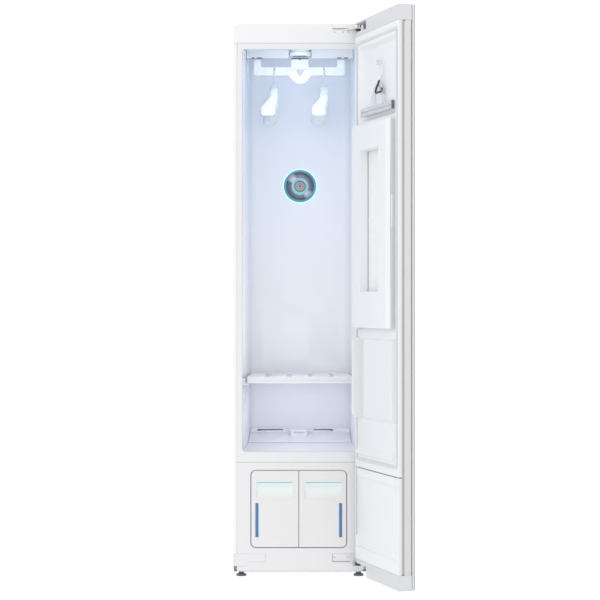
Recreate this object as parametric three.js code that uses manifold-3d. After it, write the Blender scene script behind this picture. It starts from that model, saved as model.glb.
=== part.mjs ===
// Clothes care steam cabinet, in millimetres, +Z up, with the door standing open.
// The origin is the middle of the base pan's underside, -Y is the front and +X the hinge side.
import * as THREE from "three";
import { mergeVertices } from "three/addons/utils/BufferGeometryUtils.js";
import Module from "manifold-3d";

const wasm = await Module();
wasm.setup();

// Driving dimensions of the cabinet
const cabinetWidth = 445;
const cabinetDepth = 528;
const cabinetHeight = 1832;
const side = cabinetWidth / 2;
const front = -cabinetDepth / 2;
const back = cabinetDepth / 2;
const topRadius = 14;
const sheet = 1.2;
const clearance = 0.3;
const seam = 0.6;
const overrun = 6;
const mergeTolerance = 0.001;

// Outer covers
const panSheet = 1.5;
const panelLift = panSheet + clearance;
const panelFlange = 11;
const panelRearFlange = 16;
const panelReturn = 8;
const headerHeight = 64;
const headerDepth = 100;
const headerWall = 3;
const louvreWidth = 90;
const louvreHeight = 5;
const louvrePitch = 16;
const louvreBase = 120;
const louvreX = 95;
const louvreCount = 7;
const glandRadius = 10;
const glandBore = 4.5;
const glandHeight = 8;
const glandSide = 72.5;
const glandX = side - glandSide;
const glandZ = 60;

// Base pan and feet
const panFlange = 24;
const footHeight = 18;
const footRadius = 17;
const footPad = 9;
const footRimShare = 0.7;
const footHex = 10;
const footStud = 5;
const studHeight = 22;
const footSide = 25.5;
const footX = side - footSide;
const footSetback = 34;
const glideRadius = 15;

// Front frame, cavity and lower fascia
const frameDepth = 24;
const frameWall = 3;
const openingSide = 28.5;
const openingHalf = side - openingSide;
const openingBottom = 400;
const openingDrop = 84;
const openingTop = cabinetHeight - openingDrop;
const openingRadius = 12;
const sillHeight = 34;
const frameBottom = openingBottom - sillHeight;
const rearSpace = 48;
const cavityDepth = cabinetDepth - rearSpace;
const cavityTaper = 16;
const cavityBackHalf = openingHalf - cavityTaper;
const cavityDrop = 57;
const cavityTop = cabinetHeight - cavityDrop;
const cavityRadius = 24;
const linerWall = 2.5;
const floorRise = 12;
const floorThickness = 5;
const fasciaWall = 4;

// Tank bay and tanks
const bayX = -4;
const bayMargin = 61;
const bayHalf = side - bayMargin;
const bayBottom = 79;
const bayTopMargin = 26;
const bayTop = frameBottom - bayTopMargin;
const bayRadius = 17;
const machineSpace = 276;
const bayDepth = cabinetDepth - machineSpace;
const baySide = 6;
const bayWall = 2.5;
const tankGap = 1.5;
const tankFrontDepth = 28;
const tankWall = 3;
const tankRecessHalf = 63;
const tankRecessDrop = 40.5;
const tankRecessHeight = 60.5;
const tankRecessTop = bayTop - tankRecessDrop;
const tankRecessBottom = tankRecessTop - tankRecessHeight;
const tankRecessDepth = 21;
const tankRecessGrip = 14;
const tankRecessRadius = 4;
const tankRearRoom = 47;
const tankBodyDepth = bayDepth - tankRearRoom;
const tankBodyDrop = 28;
const tankBodyTop = bayTop - tankBodyDrop;
const tankBodyInset = 5;
const tankBodyRadius = 14;
const tankBodyWall = 2.2;
const tankRimProud = 2;
const tankRimHeight = 6.6;
const windowInset = 15;
const windowWidth = 10;
const windowRise = 36;
const windowBottom = bayBottom + windowRise;
const windowHeight = 114;
const windowTop = windowBottom + windowHeight;
const windowDepth = 2;
const tankRunner = 8;
const runnerShares = [-0.75, -0.25, 0.25, 0.75];

// Shelf
const shelfHeight = 249;
const shelfTop = openingBottom + shelfHeight;
const shelfRail = 20;
const shelfSkirt = 12;
const shelfWall = 3;
const shelfGap = 13;
const shelfFront = 28;
const shelfRearGap = 18;
const shelfBack = cavityDepth - shelfRearGap;
const shelfNose = 12;
const railGrooveDepth = 1;
const railGrooveShares = [0.42, 0.52];
const slotPitch = 73;
const slotWidth = 17;
const slotCount = 4;
const slotMargin = 42;
const slotFront = shelfFront + slotMargin;
const slotBack = shelfBack - slotMargin;
const ledgeWidth = 20;
const ledgeHeight = 6;
const stopWidth = 9;
const stopDepth = 12;

// Air inlet cover on the cavity floor
const inletDepth = 150;
const inletStep = 32;
const inletShoulderHeight = 38;
const inletShoulder = openingBottom + inletShoulderHeight;
const inletShoulderRadius = 10;
const inletHeight = 52;
const inletTop = openingBottom + inletHeight;
const inletWall = 2.5;
const inletUnderShare = 3;
const inletSlotRise = 3.5;
const inletSlotBottom = inletShoulder + inletSlotRise;
const inletSlotHeight = 5.5;
const inletLeftMargin = 43;
const inletLeftWidth = 90;
const inletRightMargin = 76;
const inletRightWidth = 68;
const inletLeftStart = inletLeftMargin - openingHalf;
const inletRightEnd = openingHalf - inletRightMargin;
const inletLeftSlot = [inletLeftStart, inletLeftStart + inletLeftWidth];
const inletRightSlot = [inletRightEnd - inletRightWidth, inletRightEnd];
const nozzleHalf = 34;
const nozzleReach = 64;
const nozzleDrop = 3;
const nozzleTop = inletTop - nozzleDrop;
const nozzleSlitDrop = 12;
const nozzleSlit = 4;
const nozzleRadius = 16;

// Round vent in the back wall
const ventDrop = 515;
const ventZ = cabinetHeight - ventDrop;
const ventRadius = 58.5;
const ventHole = 51;
const ventRing = 5;
const ringShoulderShare = 0.6;
const ringChamferShare = 0.4;
const dishRadius = 49.8;
const dishInner = 31;
const dishDepth = 13;
const dishWall = 2;
const dishSteps = 4;
const grilleRadius = 30.5;
const grilleCore = 20;
const grilleDome = 4;
const grilleRim = 1;
const grilleSlotDepth = 52;
const grilleSlotShares = [0.55, 0.86];
const grilleInnerShares = [0.22, 0.42];
const grilleSlots = 16;
const grilleSlotWidth = 1.8;

// Duct behind the back wall
const ductHalf = 55;
const ductWall = 2;
const ductRearGap = 6;
const ductRear = back - ductRearGap;
const ductBelowOpening = 54;
const ductBottom = openingBottom - ductBelowOpening;
const ductOverVent = 70;

// Ceiling, lamp and drive of the hanger bar
const ceilingWall = 3;
const lampHalf = 120;
const lampFront = 38;
const lampDepth = 34;
const lampHeight = 9;
const driveDepth = cavityDepth / 2;
const driveX = 1;
const flangeRadius = 39;
const flangeBore = 25;
const flangeHeight = 22;
const flangeChamfer = 2;
const flangeStep = 5;
const flangeStepShares = [0.55, 0.7];
const crankRadius = 22;
const crankThickness = 8;
const crankThrow = 6;
const crankPin = 3;
const crankShaft = 6;
const shaftRoom = 0.9;
const crankGap = 3;
const motorRadius = 30;
const motorHeight = 38;
const motorChamfer = 2;
const motorEarShare = 1.5;
const motorCapShare = 0.8;
const motorStepShares = [0.45, 0.5];
const guideSlotHalf = 18.5;
const guideHeadRoom = 2;
const guideStemRoom = 1;
const guideHalfDepth = 16;
const guideHeight = 30;
const guideBottom = cavityTop - guideHeight;
const guideWall = 4;
const guideX = 0;

const guideLip = 4;

// Hanger bar
const barX = -3;
const barMargin = 64.5;
const barHalf = side - barMargin;
const barHalfDepth = 9;
const barBelowGuide = 59;
const barBottom = guideBottom - barBelowGuide;
const barHeight = 29;
const barTop = barBottom + barHeight;
const barEndGap = 3;
const barEndTop = guideBottom - barEndGap;
const barEndWidth = 26;
const guideSpread = 5;
const guidePitch = 2 * barHalf - barEndWidth + guideSpread;
const barRadius = 8;
const barBevel = 1.2;
const barCorner = 2;
const barEndRadius = 3;
const neckHalf = 29.5;
const neckOffset = 2;
const neckRise = 1.4;
const neckTop = guideBottom + neckRise;
const yokeDepth = 6;
const shieldOffset = 3;
const shieldHalf = 43;
const shieldTip = 14;
const shieldSideRadius = 16;
const shieldTipRadius = 24;
const shieldDrop = 28.5;
const shieldBottom = barBottom - shieldDrop;
const shieldProud = 4;
const shieldRecessHalf = 16;
const shieldRecessDrop = 11;
const shieldRecessTop = barTop - shieldRecessDrop;
const shieldRecessHeight = 23;
const shieldRecessBottom = shieldRecessTop - shieldRecessHeight;
const shieldRecessDepth = 3;
const tongueHalf = 7;
const tongueStem = 3;
const tongueHead = 6.5;
const tongueHeadHeight = 4;
const notchX = 86;
const notchHalf = 2.9;
const saddleRadius = 9;
const saddleGroove = 3.6;

// Coat hangers
const hookWire = 2;
const hookTail = 8;
const hookSocket = 12;
const hookBends = 6;
const hookStations = 24;
const hangerBelowBar = 32;
const hangerTop = barBottom - hangerBelowBar;
const hangerEndRoom = 56;
const hangerReach = driveDepth - hangerEndRoom;
const hangerNeckHalf = 13.5;
const hangerEndHalf = 23.5;
const hangerNeckHeight = 22;
const hangerEndHeight = 15;
const hangerDrop = 91;
const hangerDropPower = 1.4;
const hangerSweep = 19;
const hangerTurnShares = [0.3, 0.95];
const hangerSquareness = 0.75;
const hangerEndShare = 0.62;
const hangerStations = 14;
const hangerSides = 14;

// Hinges
const hingeInset = 12;
const hingeX = side - hingeInset;
const hingeForward = 27.5;
const hingePinRadius = 6;
const hingeCollar = 11;
const hingePlateWidth = 101.5;
const hingePlateInner = hingeX - hingePlateWidth;
const hingeEdgeInset = 3.3;
const hingeEdge = side - hingeEdgeInset;
const hingeArmHalf = 29.5;
const hingeArmReach = 8;
const hingeArmRadius = 5;
const hingePlateRear = 80;
const upperArmDrop = 20.7;
const upperArmBottom = cabinetHeight - upperArmDrop;
const upperArmThickness = 4;
const upperCapHeight = 10;
const lowerArmBottom = 18.5;
const lowerArmThickness = 6;
const lowerPlateHeight = 40.5;
const lowerPlateTop = lowerArmBottom + lowerPlateHeight;
const lowerPlateRise = 14.5;
const lowerPlateStep = lowerArmBottom + lowerPlateRise;
const lowerPlateNarrowWidth = 45.5;
const lowerPlateNarrow = side - lowerPlateNarrowWidth;
const blankWidth = 107.5;
const blankInner = side - blankWidth;
const seatDepth = 2.5;

// Door, measured from the hinge axis: across to the free edge and through its thickness
const doorOpenDegrees = 106;
const doorHingeEdge = 12;
const doorFreeEdge = cabinetWidth - doorHingeEdge;
const doorInner = 24;
const doorOuter = 30;
const doorGlass = 4;
const glassLip = 6;
const glassRadius = 6;
const glassSeat = 22;
const trimWidth = 12;
const trimInner = 12.4;
const trimGroove = 5.7;
const trimGrooveWidth = 1.4;
const trimGrooveDepth = 2.5;
const gripWidth = 4.2;
const gripDepth = 6;
const trimRadius = 2;
const capHeight = 49;
const capWall = 3;
const notchLength = 105;
const notchDepth = 34;
const notchOuter = 18.5;
const capBoss = 12;
const capBossShares = [1.5, 1.2];
const coreInner = 7.2;
const doorLinerWall = 3;
const linerLip = 12.7;
const linerSplit = 353.5;
const linerSeam = 3;
const gasketWidth = 10;
const gasketHeight = 2.7;
const gasketRise = 24.5;
const gasketBottom = linerSplit + gasketRise;
const gasketDrop = 68;
const gasketTop = cabinetHeight - gasketDrop;
const gasketHingeInset = 8;
const gasketFreeInset = 10;
const lowerInsetSide = 14;
const lowerInsetBottom = 90;
const lowerInsetDrop = 27.5;
const lowerInsetTop = linerSplit - lowerInsetDrop;
const lowerInsetDepth = 3;

// Inner side of the door
const pocketHinge = 30;
const pocketFreeMargin = 29;
const pocketFree = doorFreeEdge - pocketFreeMargin;
const pocketDrop = 90;
const pocketHeight = 250;
const pocketTop = cabinetHeight - pocketDrop;
const pocketBottom = pocketTop - pocketHeight;

const pocketFloor = 10;
const pocketDraft = 12;
const pocketRadius = 18;
const pocketWall = 2.5;
const pressHinge = 20;
const pressFreeMargin = 34;
const pressFree = doorFreeEdge - pressFreeMargin;
const pressBottom = 818;
const pressBelowPocket = 12;
const pressTop = pocketBottom - pressBelowPocket;
const pressWell = 14;
const pressWellEnd = 5;
const trayFloor = 13;
const trayWall = 4;
const trayProud = 29.7;
const basinHinge = 40;
const basinFreeMargin = 49;
const basinFree = doorFreeEdge - basinFreeMargin;
const basinBottom = 517;
const basinBelowPress = 33;
const basinTop = pressBottom - basinBelowPress;
const basinFloor = 16;
const guideRibHinge = 24;
const guideRibFreeMargin = 44;
const guideRibFree = doorFreeEdge - guideRibFreeMargin;
const guideRibWidth = 11;
const guideRibFreeProud = 38;
const dripHinge = 24;
const dripFreeMargin = 37;
const dripFree = doorFreeEdge - dripFreeMargin;
const dripBottom = 403;
const dripHeight = 27;
const dripTop = dripBottom + dripHeight;
const dripRadius = 2;
const dripEdge = 4;
const dripProud = 34;

// Trouser press cover
const coverBack = 30;
const coverFace = 48;
const coverEdge = 40;
const coverChamfer = 27;
const coverWall = 3;
const coverRadius = 6;
const coverWindowBack = 20.5;
const coverWindowDraft = 4;
const coverWindowHinge = 110;
const coverWindowMargin = 95;
const coverWindowFree = pressFree - coverWindowMargin;
const coverWindowRise = 116;
const coverWindowBottom = pressBottom + coverWindowRise;
const coverWindowDrop = 83;
const coverWindowTop = pressTop - coverWindowDrop;
const coverAxisU = 26;
const coverAxisV = 36;
const coverPin = 2.5;
const coverPinLength = 10;
const earThickness = 6;
const earHinge = 20;
const earReach = 42;
const webHinge = 36;
const webFree = 60;
const latchOffset = 38;
const latchHeight = 106;
const latchBottom = (pressBottom + pressTop - latchHeight) / 2 + latchOffset;
const latchTop = latchBottom + latchHeight;
const latchInner = 31.5;
const latchOuter = 38.5;
const latchThickness = 3;
const latchTravel = 3;
const pullRise = 4;
const pullHeight = 52;
const pullBottom = pressBottom + pullRise;
const pullTop = pullBottom + pullHeight;
const pullWidth = 9;

// Trouser hanger
const trouserU = 221;
const trouserV = 18.5;
const trouserWire = 1.7;
const neckSwell = 47;
const neckSwellHeight = 43;
const neckOutShares = [0.4, 0.87, 1, 0.9];
const neckUpShares = [0.3, 0.72, 1, 1.24];
const trouserHookStations = 30;
const pegU = 212;
const pegDrop = 69;
const pegZ = pocketTop - pegDrop;
const pegRadius = 7;
const pegHeadRadius = 9.1;
const pegProud = 27;
const archHalf = 70;
const archHinge = trouserU - archHalf;
const archFree = trouserU + archHalf;
const archLeg = 20;
const archDrop = 69;
const archShoulder = 40;
const archInnerShoulder = 48;
const archTop = pegZ - archDrop;
const archTube = 3;
const jawHinge = 55;
const jawFreeMargin = 53;
const jawFree = doorFreeEdge - jawFreeMargin;
const jawDrop = 67;
const jawHeight = 25.5;
const jawTop = archTop - jawDrop;
const jawBottom = jawTop - jawHeight;

const jawGrip = 20;
const jawFace = 27;
const jawRear = 12;
const jawGap = 0.6;
const jawRib = 1;
const leverWire = 3.2;
const leverOffset = 25;
const leverLean = 48;
const leverRise = 8;
const leverDrop = 39;
const leverFoot = 90;
const leverCurl = 34;
const leverCurlRise = 10;
const leverLeanShare = 0.75;
const leverDropShares = [0.5, 0.7, 0.9, 0.96];
const leverFootShares = [0.15, 0.5, 1, 1.05];
const leverStations = 28;

// Machine compartment
const compressorSide = 94.5;
const compressorX = compressorSide - side;
const compressorRearGap = 96;
const compressorY = back - compressorRearGap;
const compressorMountShare = 0.8;
const compressorRadius = 60;
const compressorHeight = 186;
const compressorFoot = 12;
const exchangerGap = 22;
const exchangerLeft = compressorX + compressorRadius + exchangerGap;
const exchangerSide = 17.5;
const exchangerRight = side - exchangerSide;
const exchangerRearGap = 14;
const exchangerDepth = 190;
const exchangerRear = back - exchangerRearGap;
const exchangerFront = exchangerRear - exchangerDepth;

const exchangerHeight = 150;
const finCount = 16;
const finThickness = 3;
const finRoot = 24;
const steamWidth = 135;
const steamLeft = -exchangerRight;
const steamRight = steamLeft + steamWidth;
const steamRearGap = 186;
const steamDepth = 72;
const steamRear = back - steamRearGap;
const steamFront = steamRear - steamDepth;

const steamHeight = 128;
const steamPipe = 8;
const steamPipeHeight = 24;
const steamLidRadius = 24;
const blowerBelowDuct = 96;
const blowerZ = ductBottom - blowerBelowDuct;
const blowerRadius = 58;
const blowerGrowth = 22;
const scrollSteps = 24;
const scrollTurnShare = 0.75;
const blowerRearGap = 20;
const blowerDepth = 58;
const blowerRear = back - blowerRearGap;
const blowerFront = blowerRear - blowerDepth;

const blowerWall = 2;
const blowerInlet = 40;
const blowerFoot = 12;
const impellerRadius = 48;
const impellerInner = 38;
const impellerGap = 4;
const impellerHub = 12;
const impellerBlades = 15;
const bladeThickness = 1.6;
const bladeTwistDegrees = 35;
const blowerShaft = 4;
const blowerMotor = 26;
const blowerMotorGap = 3.6;

// Numbers of sides of round forms
const hexSides = 6;
const stubSides = 12;
const pinSides = 16;
const rodSides = 20;
const canSides = 24;
const grilleSides = 28;
const impellerSides = 30;
const discSides = 32;
const dishSides = 36;
const ringSides = 40;
const holeSides = 48;

// Places worked out from the driving dimensions
const headerBottom = cabinetHeight - headerHeight;
const frameHalf = side - panelFlange - clearance;
const wallBack = front + cavityDepth;
const wallFront = front + frameDepth + clearance;
const compartmentFloor = panSheet + clearance;
const barY = front + driveDepth;
const hingeY = front - hingeForward;
const trimTop = cabinetHeight - capHeight - clearance;
const trimBottom = capHeight + clearance;
const pinNotch = cabinetHeight - notchDepth;

// Half the cavity's width at a depth behind the front plane: the walls draw in towards the back.
function cavityHalf(depth) {
  return openingHalf + ((cavityBackHalf - openingHalf) * depth) / cavityDepth;
}

// Solids

// A geometry as a solid, with its shared vertices merged.
function solidOf(geometry) {
  const bare = geometry.index ? geometry.toNonIndexed() : geometry.clone();
  bare.deleteAttribute("normal");
  bare.deleteAttribute("uv");
  const merged = mergeVertices(bare, mergeTolerance);
  const vertProperties = merged.attributes.position.array;
  const triVerts = new Uint32Array(merged.index.array);
  return new wasm.Manifold(new wasm.Mesh({ numProp: 3, vertProperties, triVerts }));
}

// A box between two limits on each axis.
function block([x0, x1], [y0, y1], [z0, z1]) {
  const box = new THREE.BoxGeometry(x1 - x0, y1 - y0, z1 - z0);
  return solidOf(box.translate((x0 + x1) / 2, (y0 + y1) / 2, (z0 + z1) / 2));
}

// A round bar between two points.
function rod(radius, from, to, sides = rodSides) {
  const a = new THREE.Vector3(...from);
  const b = new THREE.Vector3(...to);
  const geometry = new THREE.CylinderGeometry(radius, radius, a.distanceTo(b), sides);
  const turn = new THREE.Quaternion();
  turn.setFromUnitVectors(new THREE.Vector3(0, 1, 0), b.clone().sub(a).normalize());
  const middle = a.clone().add(b).multiplyScalar(1 / 2);
  return solidOf(geometry.applyQuaternion(turn).translate(...middle));
}

// An outline whose corners [x, y, radius] are rounded where a radius is given.
function outline(corners, steps = 3) {
  const points = [];
  corners.forEach(([x, y, radius = 0], i) => {
    const here = new THREE.Vector2(x, y);
    if (!radius) {
      points.push(here);
      return;
    }
    const [px, py] = corners.at(i - 1);
    const [nx, ny] = corners[(i + 1) % corners.length];
    const before = new THREE.Vector2(px, py).sub(here).normalize();
    const after = new THREE.Vector2(nx, ny).sub(here).normalize();
    const half = Math.acos(before.dot(after)) / 2;
    const middle = before.clone().add(after).normalize();
    const centre = here.clone().addScaledVector(middle, radius / Math.sin(half));
    const start = here.clone().addScaledVector(before, radius / Math.tan(half)).sub(centre);
    const end = here.clone().addScaledVector(after, radius / Math.tan(half)).sub(centre);
    const turn = Math.atan2(start.cross(end), start.dot(end));
    for (let k = 0; k <= steps; k += 1) {
      const spoke = start.clone().rotateAround(new THREE.Vector2(), (turn * k) / steps);
      points.push(centre.clone().add(spoke));
    }
  });
  return points;
}

// A rectangle's corners, for outline.
function rectangle([x0, x1], [y0, y1], radius = 0) {
  return [
    [x0, y0, radius],
    [x1, y0, radius],
    [x1, y1, radius],
    [x0, y1, radius],
  ];
}

// Extrudes an outline along an axis between two limits. Along y it lies in XZ, along x in YZ.
function prism(points, axis, [low, high], bevel = 0) {
  const geometry = new THREE.ExtrudeGeometry(new THREE.Shape(points), {
    depth: high - low - 2 * bevel,
    bevelEnabled: bevel > 0,
    bevelThickness: bevel,
    bevelSize: bevel,
    bevelOffset: -bevel,
    bevelSegments: 1,
  });
  geometry.translate(0, 0, bevel);
  const x = new THREE.Vector3(1, 0, 0);
  const y = new THREE.Vector3(0, 1, 0);
  const z = new THREE.Vector3(0, 0, 1);
  const frames = { x: [y, z, x], y: [x, z, y.clone().negate()], z: [x, y, z] };
  geometry.applyMatrix4(new THREE.Matrix4().makeBasis(...frames[axis]));
  const starts = { x: [low, 0, 0], y: [0, high, 0], z: [0, 0, low] };
  return solidOf(geometry.translate(...starts[axis]));
}

// Joins closed rings of equally many points into one solid, capped at both ends.
function loft(rings) {
  const count = rings[0].length;
  const positions = rings.flat().flatMap((p) => [p.x, p.y, p.z]);
  const middles = [rings[0], rings.at(-1)].map((ring) => {
    return ring.reduce((sum, p) => sum.add(p), new THREE.Vector3()).divideScalar(count);
  });
  const first = rings.length * count;
  middles.forEach((p) => positions.push(p.x, p.y, p.z));
  const faces = [];
  for (let i = 0; i < count; i += 1) {
    const j = (i + 1) % count;
    for (let r = 0; r + 1 < rings.length; r += 1) {
      const [a, b] = [r * count + i, r * count + j];
      faces.push(a, b, b + count, a, b + count, a + count);
    }
    faces.push(first, j, i);
    faces.push(first + 1, first - count + i, first - count + j);
  }
  const geometry = new THREE.BufferGeometry();
  geometry.setAttribute("position", new THREE.Float32BufferAttribute(positions, 3));
  geometry.setIndex(faces);
  const made = solidOf(geometry);
  if (made.volume() > 0) return made;
  geometry.setIndex(faces.toReversed());
  return solidOf(geometry);
}

// Revolves a profile of [radius, height] corners about the z axis and stands it at a place.
function turned(profile, [x, y, z], sides) {
  const geometry = new THREE.LatheGeometry(profile, sides);
  return solidOf(geometry.rotateX(Math.PI / 2).translate(x, y, z));
}

// The same, about an axis along y, with heights counted towards the front.
function turnedForward(profile, [x, y, z], sides) {
  const geometry = new THREE.LatheGeometry(profile, sides);
  return solidOf(geometry.rotateX(Math.PI).translate(x, y, z));
}

// A round wire along a smooth curve through points.
function wire(radius, points, steps, sides = hexSides) {
  const curve = new THREE.CatmullRomCurve3(points.map((p) => new THREE.Vector3(...p)));
  const section = new THREE.Shape().absarc(0, 0, radius, 0, 2 * Math.PI);
  const options = { steps, extrudePath: curve, bevelEnabled: false, curveSegments: sides / 2 };
  return solidOf(new THREE.ExtrudeGeometry(section, options));
}

function join(solids) {
  return solids.reduce((sum, solid) => sum.add(solid));
}

function cut(solid, ...tools) {
  return tools.reduce((rest, tool) => rest.subtract(tool), solid);
}

// Materials
const white = { color: 0xf2f3f5, roughness: 0.42, metalness: 0 };
const gloss = { color: 0xf6f7fa, roughness: 0.22, metalness: 0 };
const liner = { color: 0xe6eaf2, roughness: 0.38, metalness: 0 };
const silver = { color: 0xc9cacb, roughness: 0.32, metalness: 0.8 };
const steel = { color: 0xb9bcc0, roughness: 0.34, metalness: 0.9 };
const darkSteel = { color: 0x6b7076, roughness: 0.36, metalness: 0.85 };
const galvanised = { color: 0xaeb3b6, roughness: 0.5, metalness: 0.7 };
const black = { color: 0x1d1e20, roughness: 0.5, metalness: 0 };
const rubber = { color: 0xc3c6c9, roughness: 0.8, metalness: 0 };
const foam = { color: 0xeeeeea, roughness: 0.95, metalness: 0 };
const teal = { color: 0x35c4d6, roughness: 0.3, metalness: 0 };
const blue = { color: 0x2f8fe6, roughness: 0.25, metalness: 0 };
const smoke = { color: 0xc9d3da, roughness: 0.2, metalness: 0 };
const grey = { color: 0xaab0b8, roughness: 0.4, metalness: 0 };
const copper = { color: 0xb87b52, roughness: 0.4, metalness: 0.8 };

const cabinet = new THREE.Group();

// Puts a solid into a group as one named mesh.
function part(group, name, solid, material) {
  const mesh = solid.getMesh();
  const positions = new Float32Array(mesh.numVert * 3);
  for (let i = 0; i < mesh.numVert; i += 1) {
    const start = i * mesh.numProp;
    positions.set(mesh.vertProperties.subarray(start, start + 3), i * 3);
  }
  const geometry = new THREE.BufferGeometry();
  geometry.setAttribute("position", new THREE.BufferAttribute(positions, 3));
  geometry.setIndex(new THREE.BufferAttribute(mesh.triVerts, 1));
  geometry.computeVertexNormals();
  const made = new THREE.Mesh(geometry, new THREE.MeshStandardMaterial(material));
  made.name = name;
  group.add(made);
  return made;
}

// Outer covers

// A side panel: one sheet folded round its front edge and its rear edge.
function sidePanel(hand) {
  const rear = back - sheet - clearance;
  const edge = side - panelFlange;
  const corners = [
    [side, front, panelFlange / 4],
    [side, rear],
    [side - panelRearFlange, rear],
    [side - panelRearFlange, rear - sheet],
    [side - sheet, rear - sheet],
    [side - sheet, front + sheet],
    [edge + sheet, front + sheet],
    [edge + sheet, front + panelReturn],
    [edge, front + panelReturn],
    [edge, front],
  ];
  const points = outline(corners).map((p) => new THREE.Vector2(p.x * hand, p.y));
  const panel = prism(points, "z", [panelLift, headerBottom - seam]);
  const hingeSeat = block(
    [edge - overrun, side - sheet].map((x) => x * hand).sort((a, b) => a - b),
    [front - overrun, front + panelReturn + overrun],
    [panelLift - overrun, lowerPlateTop + clearance],
  );
  return cut(panel, hingeSeat);
}

// The rounded outline of the header and top cover, seen from the front.
function topOutline(inset) {
  return outline([
    [-side + inset, headerBottom - (inset ? overrun : 0)],
    [side - inset, headerBottom - (inset ? overrun : 0)],
    [side - inset, cabinetHeight - inset, topRadius - inset],
    [-side + inset, cabinetHeight - inset, topRadius - inset],
  ]);
}

function header() {
  const shell = prism(topOutline(0), "y", [front, front + headerDepth]);
  const inside = prism(topOutline(headerWall), "y", [front + headerWall, front + headerDepth + overrun]);
  const armTop = upperArmBottom + upperArmThickness;
  const hingeSlot = block(
    [hingePlateInner - clearance, hingeEdge + clearance],
    [front - overrun, front + headerWall + overrun],
    [upperArmBottom - clearance, armTop + clearance],
  );
  // The hinge plate rests on a shelf inside the header.
  const seat = block(
    [hingePlateInner - headerWall, side - headerWall / 2],
    [front + headerWall / 2, front + hingePlateRear],
    [upperArmBottom - clearance - headerWall, upperArmBottom - clearance],
  );
  const coverSeam = block(
    [hingePlateInner - seam - clearance, hingePlateInner - clearance],
    [front - overrun, front + seam],
    [upperArmBottom, cabinetHeight + overrun],
  );
  return cut(cut(shell, inside).add(seat), hingeSlot, coverSeam);
}

function topCover() {
  const start = front + headerDepth + seam;
  const shell = prism(topOutline(0), "y", [start, back]);
  return cut(shell, prism(topOutline(headerWall), "y", [start - overrun, back - headerWall]));
}

function rearPanel() {
  const plate = block([-side, side], [back - sheet, back], [panelLift, headerBottom - seam]);
  const slots = [];
  for (const hand of [-1, 1]) {
    for (let i = 0; i < louvreCount; i += 1) {
      const z = louvreBase + i * louvrePitch;
      const middle = hand * louvreX;
      slots.push(
        block(
          [middle - louvreWidth / 2, middle + louvreWidth / 2],
          [back - overrun, back + overrun],
          [z, z + louvreHeight],
        ),
      );
    }
  }
  const onGland = (y) => [glandX, y, glandZ];
  const gland = rod(glandRadius, onGland(back - sheet), onGland(back + glandHeight));
  const bore = rod(glandBore, onGland(back - overrun), onGland(back + glandHeight + overrun));
  return cut(plate.add(gland), join(slots), bore);
}

// The base pan, a folded tray with glides at the rear and stud holes for the levelling feet.
function basePan() {
  const half = side - sheet - clearance;
  const rear = back - 2 * sheet - 2 * clearance;
  const start = front + frameDepth + clearance;
  const tray = block([-half, half], [start, rear], [0, panFlange]);
  const inside = block(
    [-half + panSheet, half - panSheet],
    [start + panSheet, rear - panSheet],
    [panSheet, panFlange + overrun],
  );
  const lip = block([-half, half], [front + seam, start + panSheet], [0, panSheet]);
  const pieces = [cut(tray, inside), lip];
  const holes = [];
  for (const hand of [-1, 1]) {
    const x = hand * footX;
    const y = back - footSetback;
    const glide = [
      [0, -footHeight],
      [glideRadius - panSheet, -footHeight],
      [glideRadius, -footHeight + panSheet],
      [glideRadius, panSheet],
      [0, panSheet],
    ];
    pieces.push(turned(profileOf(glide), [x, y, 0], pinSides));
    holes.push(rod(footStud + seam, [x, front + footSetback, -overrun], [x, front + footSetback, overrun]));
  }
  return cut(join(pieces), join(holes));
}

function profileOf(points) {
  return points.map(([r, z]) => new THREE.Vector2(r, z));
}

// A levelling foot: pad, hexagonal neck and stud, turned to set the height.
function levellingFoot(x) {
  const y = front + footSetback;
  const pad = [
    [0, -footHeight],
    [footRadius - seam, -footHeight],
    [footRadius, -footHeight + seam],
    [footRadius, -footHeight + footPad * footRimShare],
    [footHex, -footHeight + footPad],
    [0, -footHeight + footPad],
  ];
  const hex = rod(footHex, [x, y, -footHeight + footPad / 2], [x, y, -clearance], hexSides);
  const stud = rod(footStud, [x, y, -clearance - footPad / 4], [x, y, studHeight], pinSides);
  return join([turned(profileOf(pad), [x, y, 0], rodSides), hex, stud]);
}

// Front frame and fascia

// A moulded frame with a front wall and lips turned back round its edge and its opening.
function frameRing([x0, x1], [z0, z1], opening, wall) {
  const [ox, oz, radius] = opening;
  const body = block([x0, x1], [front, front + frameDepth], [z0, z1]);
  const hole = prism(outline(rectangle(ox, oz, radius)), "y", [
    front - overrun,
    front + frameDepth + overrun,
  ]);
  const lip = prism(
    outline(rectangle([ox[0] - wall, ox[1] + wall], [oz[0] - wall, oz[1] + wall], radius + wall)),
    "y",
    [front, front + frameDepth],
  );
  const hollow = block(
    [x0 + wall, x1 - wall],
    [front + wall, front + frameDepth + overrun],
    [z0 + wall, z1 - wall],
  );
  return cut(cut(body, hollow).add(lip), hole);
}

function frontFrame() {
  const opening = [[-openingHalf, openingHalf], [openingBottom, openingTop], openingRadius];
  return frameRing([-frameHalf, frameHalf], [frameBottom, headerBottom - seam], opening, frameWall);
}

// The L-shaped seat of a lower hinge plate, mirrored on the side without a hinge.
function hingeSeatOutline(inner, hand, grow) {
  const corners = [
    [inner - grow, lowerPlateStep - grow],
    [lowerPlateNarrow - grow, lowerPlateStep - grow],
    [lowerPlateNarrow - grow, lowerArmBottom - grow],
    [side - sheet - clearance, lowerArmBottom - grow],
    [side - sheet - clearance, lowerPlateTop + grow],
    [inner - grow, lowerPlateTop + grow],
  ];
  return outline(corners).map((p) => new THREE.Vector2(p.x * hand, p.y));
}

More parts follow.
